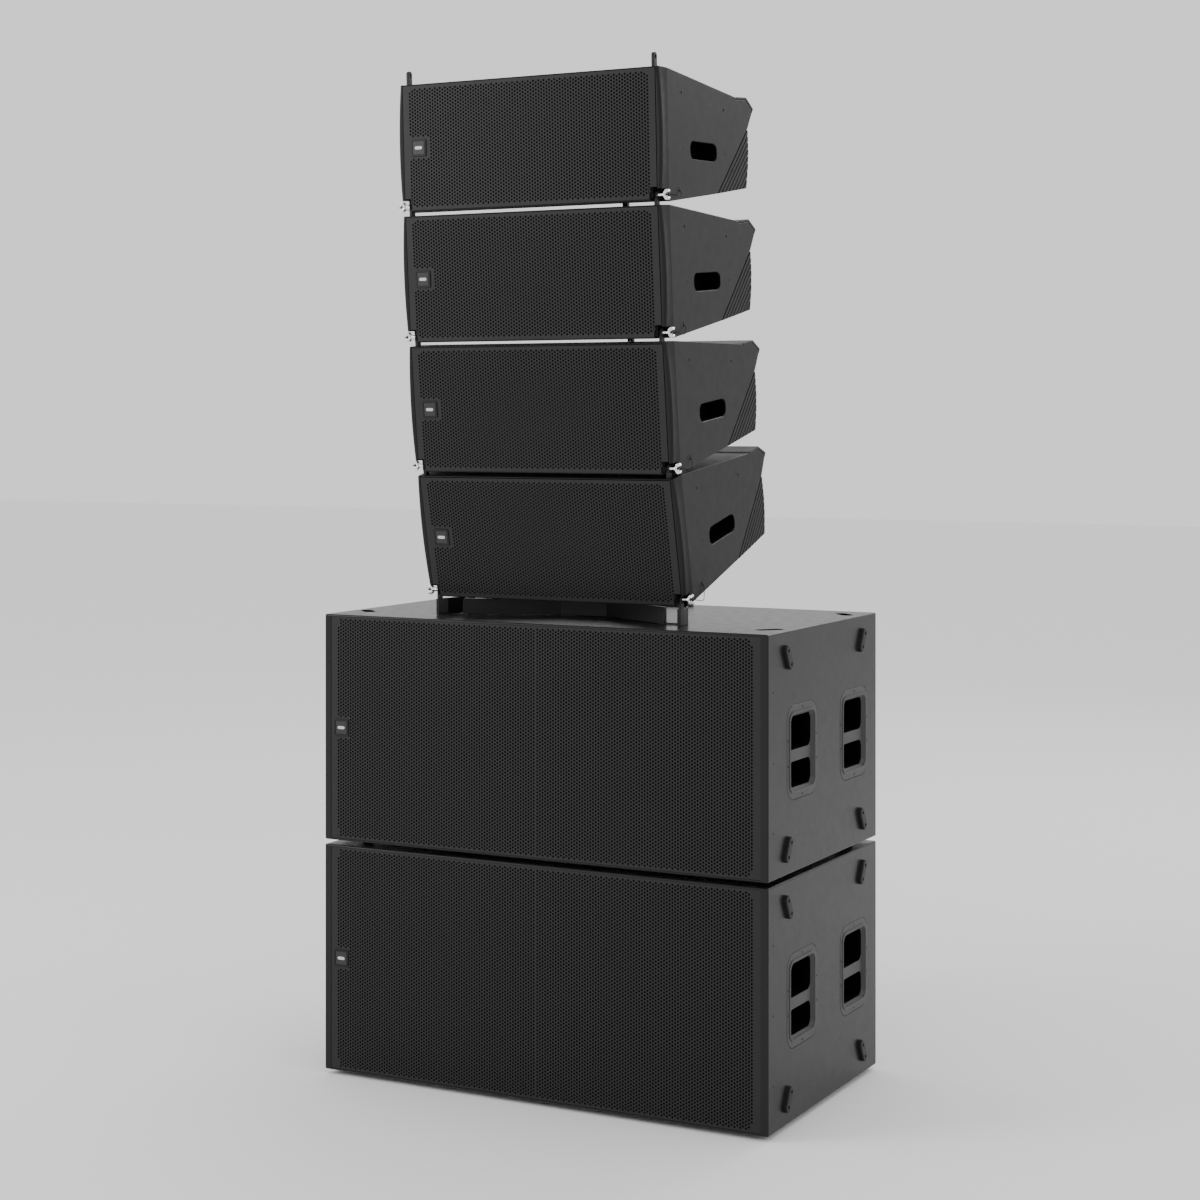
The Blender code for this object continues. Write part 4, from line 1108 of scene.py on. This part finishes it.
def build_subs():
    middle = SUB_HEIGHT / 2
    cabinet = sub_cabinet_mesh()
    feet, grilles = foot_mesh(), sub_grille_meshes()
    pads, pad_screws = (both(mesh) for mesh in skid_meshes(middle))
    front_screws = both(grille_screws())
    plates = {k: both(plate_mesh(v, middle)) for k, v in PLATES.items()}
    fixings = {k: both(plate_screws(v, middle)) for k, v in PLATES.items()}
    sockets, dark, panel_screws = rear_panel_meshes()
    rim, face, inlay = badge_parts((SUB_BADGE_X, middle), SUB_FRONT + 0.001)
    edge = SUB_SIDE - SUB_EDGE - 0.001
    low, high = (-edge, SUB_FRONT + 0.00405, 0.0065), (edge, SUB_FRONT + 0.00435, 0.5730)
    backing = mesh_of(block(low, high))
    for level, which in enumerate(("lower", "upper")):
        tag = f"sub_{which}_"
        at = Matrix.Translation((0, 0, level * SUB_STEP + FOOT_HEIGHT))
        ground = Matrix.Translation((0, 0, level * (SUB_STEP - FOOT_SINK)))
        box = [tag + "cabinet"]
        piece(tag + "shell", cabinet, (SUB_PAINT, SHADE_AND_BLACK), "root", box, at)
        piece(tag + "feet", feet, RUBBER, "root", box, ground)
        for word in ("left", "right"):
            node = [tag + "grille"]
            name = f"{tag}perforated_front_{word}"
            piece(name, grilles[word], STEEL, "root", node, at, 0)
            piece(f"{tag}skids_{word}", pads[word], RUBBER, "root", box, at)
            piece(f"{tag}skid_screws_{word}", pad_screws[word], SCREW, "root", (), at)
            name = f"{tag}grille_screws_{word}"
            piece(name, front_screws[word], SCREW, "root", (), at)
            for place in PLATES:
                node = [f"{tag}handle_right_{place}"] if word == "right" else box
                name = f"{tag}handle_{word}_{place}"
                if word == "right":
                    name += "_plate"
                piece(name, plates[place][word], (GRIP, SHADE_AND_BLACK), "root", node, at)
                name = f"{tag}handle_{word}_{place}_screws"
                piece(name, fixings[place][word], SCREW, "root", (), at)
        piece(tag + "badge_frame", rim, BADGE, "root", (), at)
        piece(tag + "badge_face", face, BADGE_FACE, "root", (), at)
        piece(tag + "badge_inlay", inlay, INLAY, "root", (), at)
        piece(tag + "grille_backing", backing, BACKING, "root", (), at)
        piece(tag + "sockets", sockets, BLACK, "root", (), at)
        piece(tag + "socket_faces", dark, SHADE_AND_BLACK, "root", (), at)
        piece(tag + "panel_screws", panel_screws, SCREW, "root", (), at)


# Stacking frame


def build_frame():
    """The frame as one welded piece: spine, bent panel, posts, ties, gussets, ears and strut."""
    floor, y = STACK_TOP + GAP, SUB_CENTRE_Y
    near, far = y + SPINE[0], y + SPINE[1]
    base = block((-0.025, near, floor), (0.025, far, floor + POST_HEIGHT), 0.0012)
    bend = [(a, y + b) for a, b in BEND]
    outline = bend + [(-a, b) for a, b in reversed(bend)]
    joins = [
        block((-0.110, y + 0.285, floor), (0.110, y + 0.3247, floor + 0.012), 0.0012),
        prism(outline, floor + 0.0001, floor + 0.0419, "Z", 0.0012),
    ]
    cuts = []
    for side in (-1, 1):
        low, high = sorted(side * x for x in POST_X)
        near, far = y + POST_Y[0], y + POST_Y[1]
        top = STACK_TOP + POST_HEIGHT
        joins.append(block((low, near, floor + 0.0002), (high, far, top), 0.0010))
        low, high = sorted(side * x for x in TIE_X)
        near, far = y + TIE_Y[0], y + TIE_Y[1]
        joins.append(block((low, near, floor + 0.0003), (high, far, floor + 0.004)))
        gusset = [(side * a, y + b) for a, b in GUSSET]
        joins.append(prism(gusset, floor + 0.0004, top - 0.0005, "Z"))
        ear = bar(0.275, 0.338, 0.016, 0.0079, side * LINK_X)
        shift = Matrix.Translation((0, PIN_4[0], PIN_4[1] - 0.3275))
        bmesh.ops.transform(ear, matrix=shift, verts=ear.verts)
        joins.append(ear)
        ends = sorted((side * 0.335, side * 0.350))
        cuts.append(turned([(at, PIN_HOLE) for at in ends], PIN_4, "X"))
    at = module_matrix(4)
    near, far = REAR_LINK_Y - 0.019, REAR_LINK_Y + 0.019
    strut = block((-0.019, near, -0.172), (0.019, far, -0.035), 0.003, 3)
    bore = block((-0.0086, REAR_LINK_Y - 0.0066, -0.164), (0.0086, REAR_LINK_Y + 0.0066, 0.0))
    for bm in (strut, bore):
        bmesh.ops.transform(bm, matrix=at, verts=bm.verts)
    joins.append(strut)
    cuts.append(bore)
    made = carved(base, cuts, joins)
    piece("stacking_frame_welded", made, RIG, "root", ["stacking_frame"])


# CAD nodes that stay


def finish_nodes():
    """Finishes for the woofers, waveguides and amplifiers, which are shown as they are."""
    looks = {"woofer": CONE, "waveguide": HORN, "amplifier": PANEL}
    for name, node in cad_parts.items():
        for word, look in looks.items():
            if word in name:
                node.data.materials.clear()
                node.data.materials.append(look)


# Camera, light and floor


def build_stage():
    """Pale floor, soft lamps, and the camera: level, beside the right front corner."""
    bpy.ops.mesh.primitive_plane_add(size=60, location=(0, 0, -0.0005))
    floor = bpy.context.object
    floor.name = "floor"
    pale = bpy.data.materials.new("pale_floor")
    pale.use_nodes = True
    shader = pale.node_tree.nodes["Principled BSDF"]
    shader.inputs["Base Color"].default_value = (0.92, 0.92, 0.92, 1)
    shader.inputs["Roughness"].default_value = 0.9
    floor.data.materials.append(pale)
    world = bpy.data.worlds.new("studio")
    bpy.context.scene.world = world
    world.use_nodes = True
    sky = world.node_tree.nodes["Background"]
    sky.inputs["Color"].default_value = (1, 1, 1, 1)
    sky.inputs["Strength"].default_value = 1.1
    for name, (where, power) in LAMPS.items():
        light = bpy.data.lights.new(name, "AREA")
        light.shape = "DISK"
        light.size = LAMP_SIZE
        light.energy = power
        lamp = bpy.data.objects.new(name, light)
        lamp.location = where
        aim = Vector(LAMP_TARGET) - Vector(where)
        lamp.rotation_euler = aim.to_track_quat("-Z", "Y").to_euler()
        bpy.context.scene.collection.objects.link(lamp)
    lens = bpy.data.cameras.new("camera")
    lens.lens = LENS
    lens.sensor_width = 36
    lens.shift_y = LENS_SHIFT
    lens.clip_end = 200
    camera = bpy.data.objects.new("camera", lens)
    camera.location = CAMERA_PLACE
    camera.rotation_euler = (math.radians(90), 0, math.radians(CAMERA_TURN))
    bpy.context.scene.collection.objects.link(camera)
    bpy.context.scene.camera = camera


build_stage()
finish_nodes()
build_subs()
build_frame()
build_array()
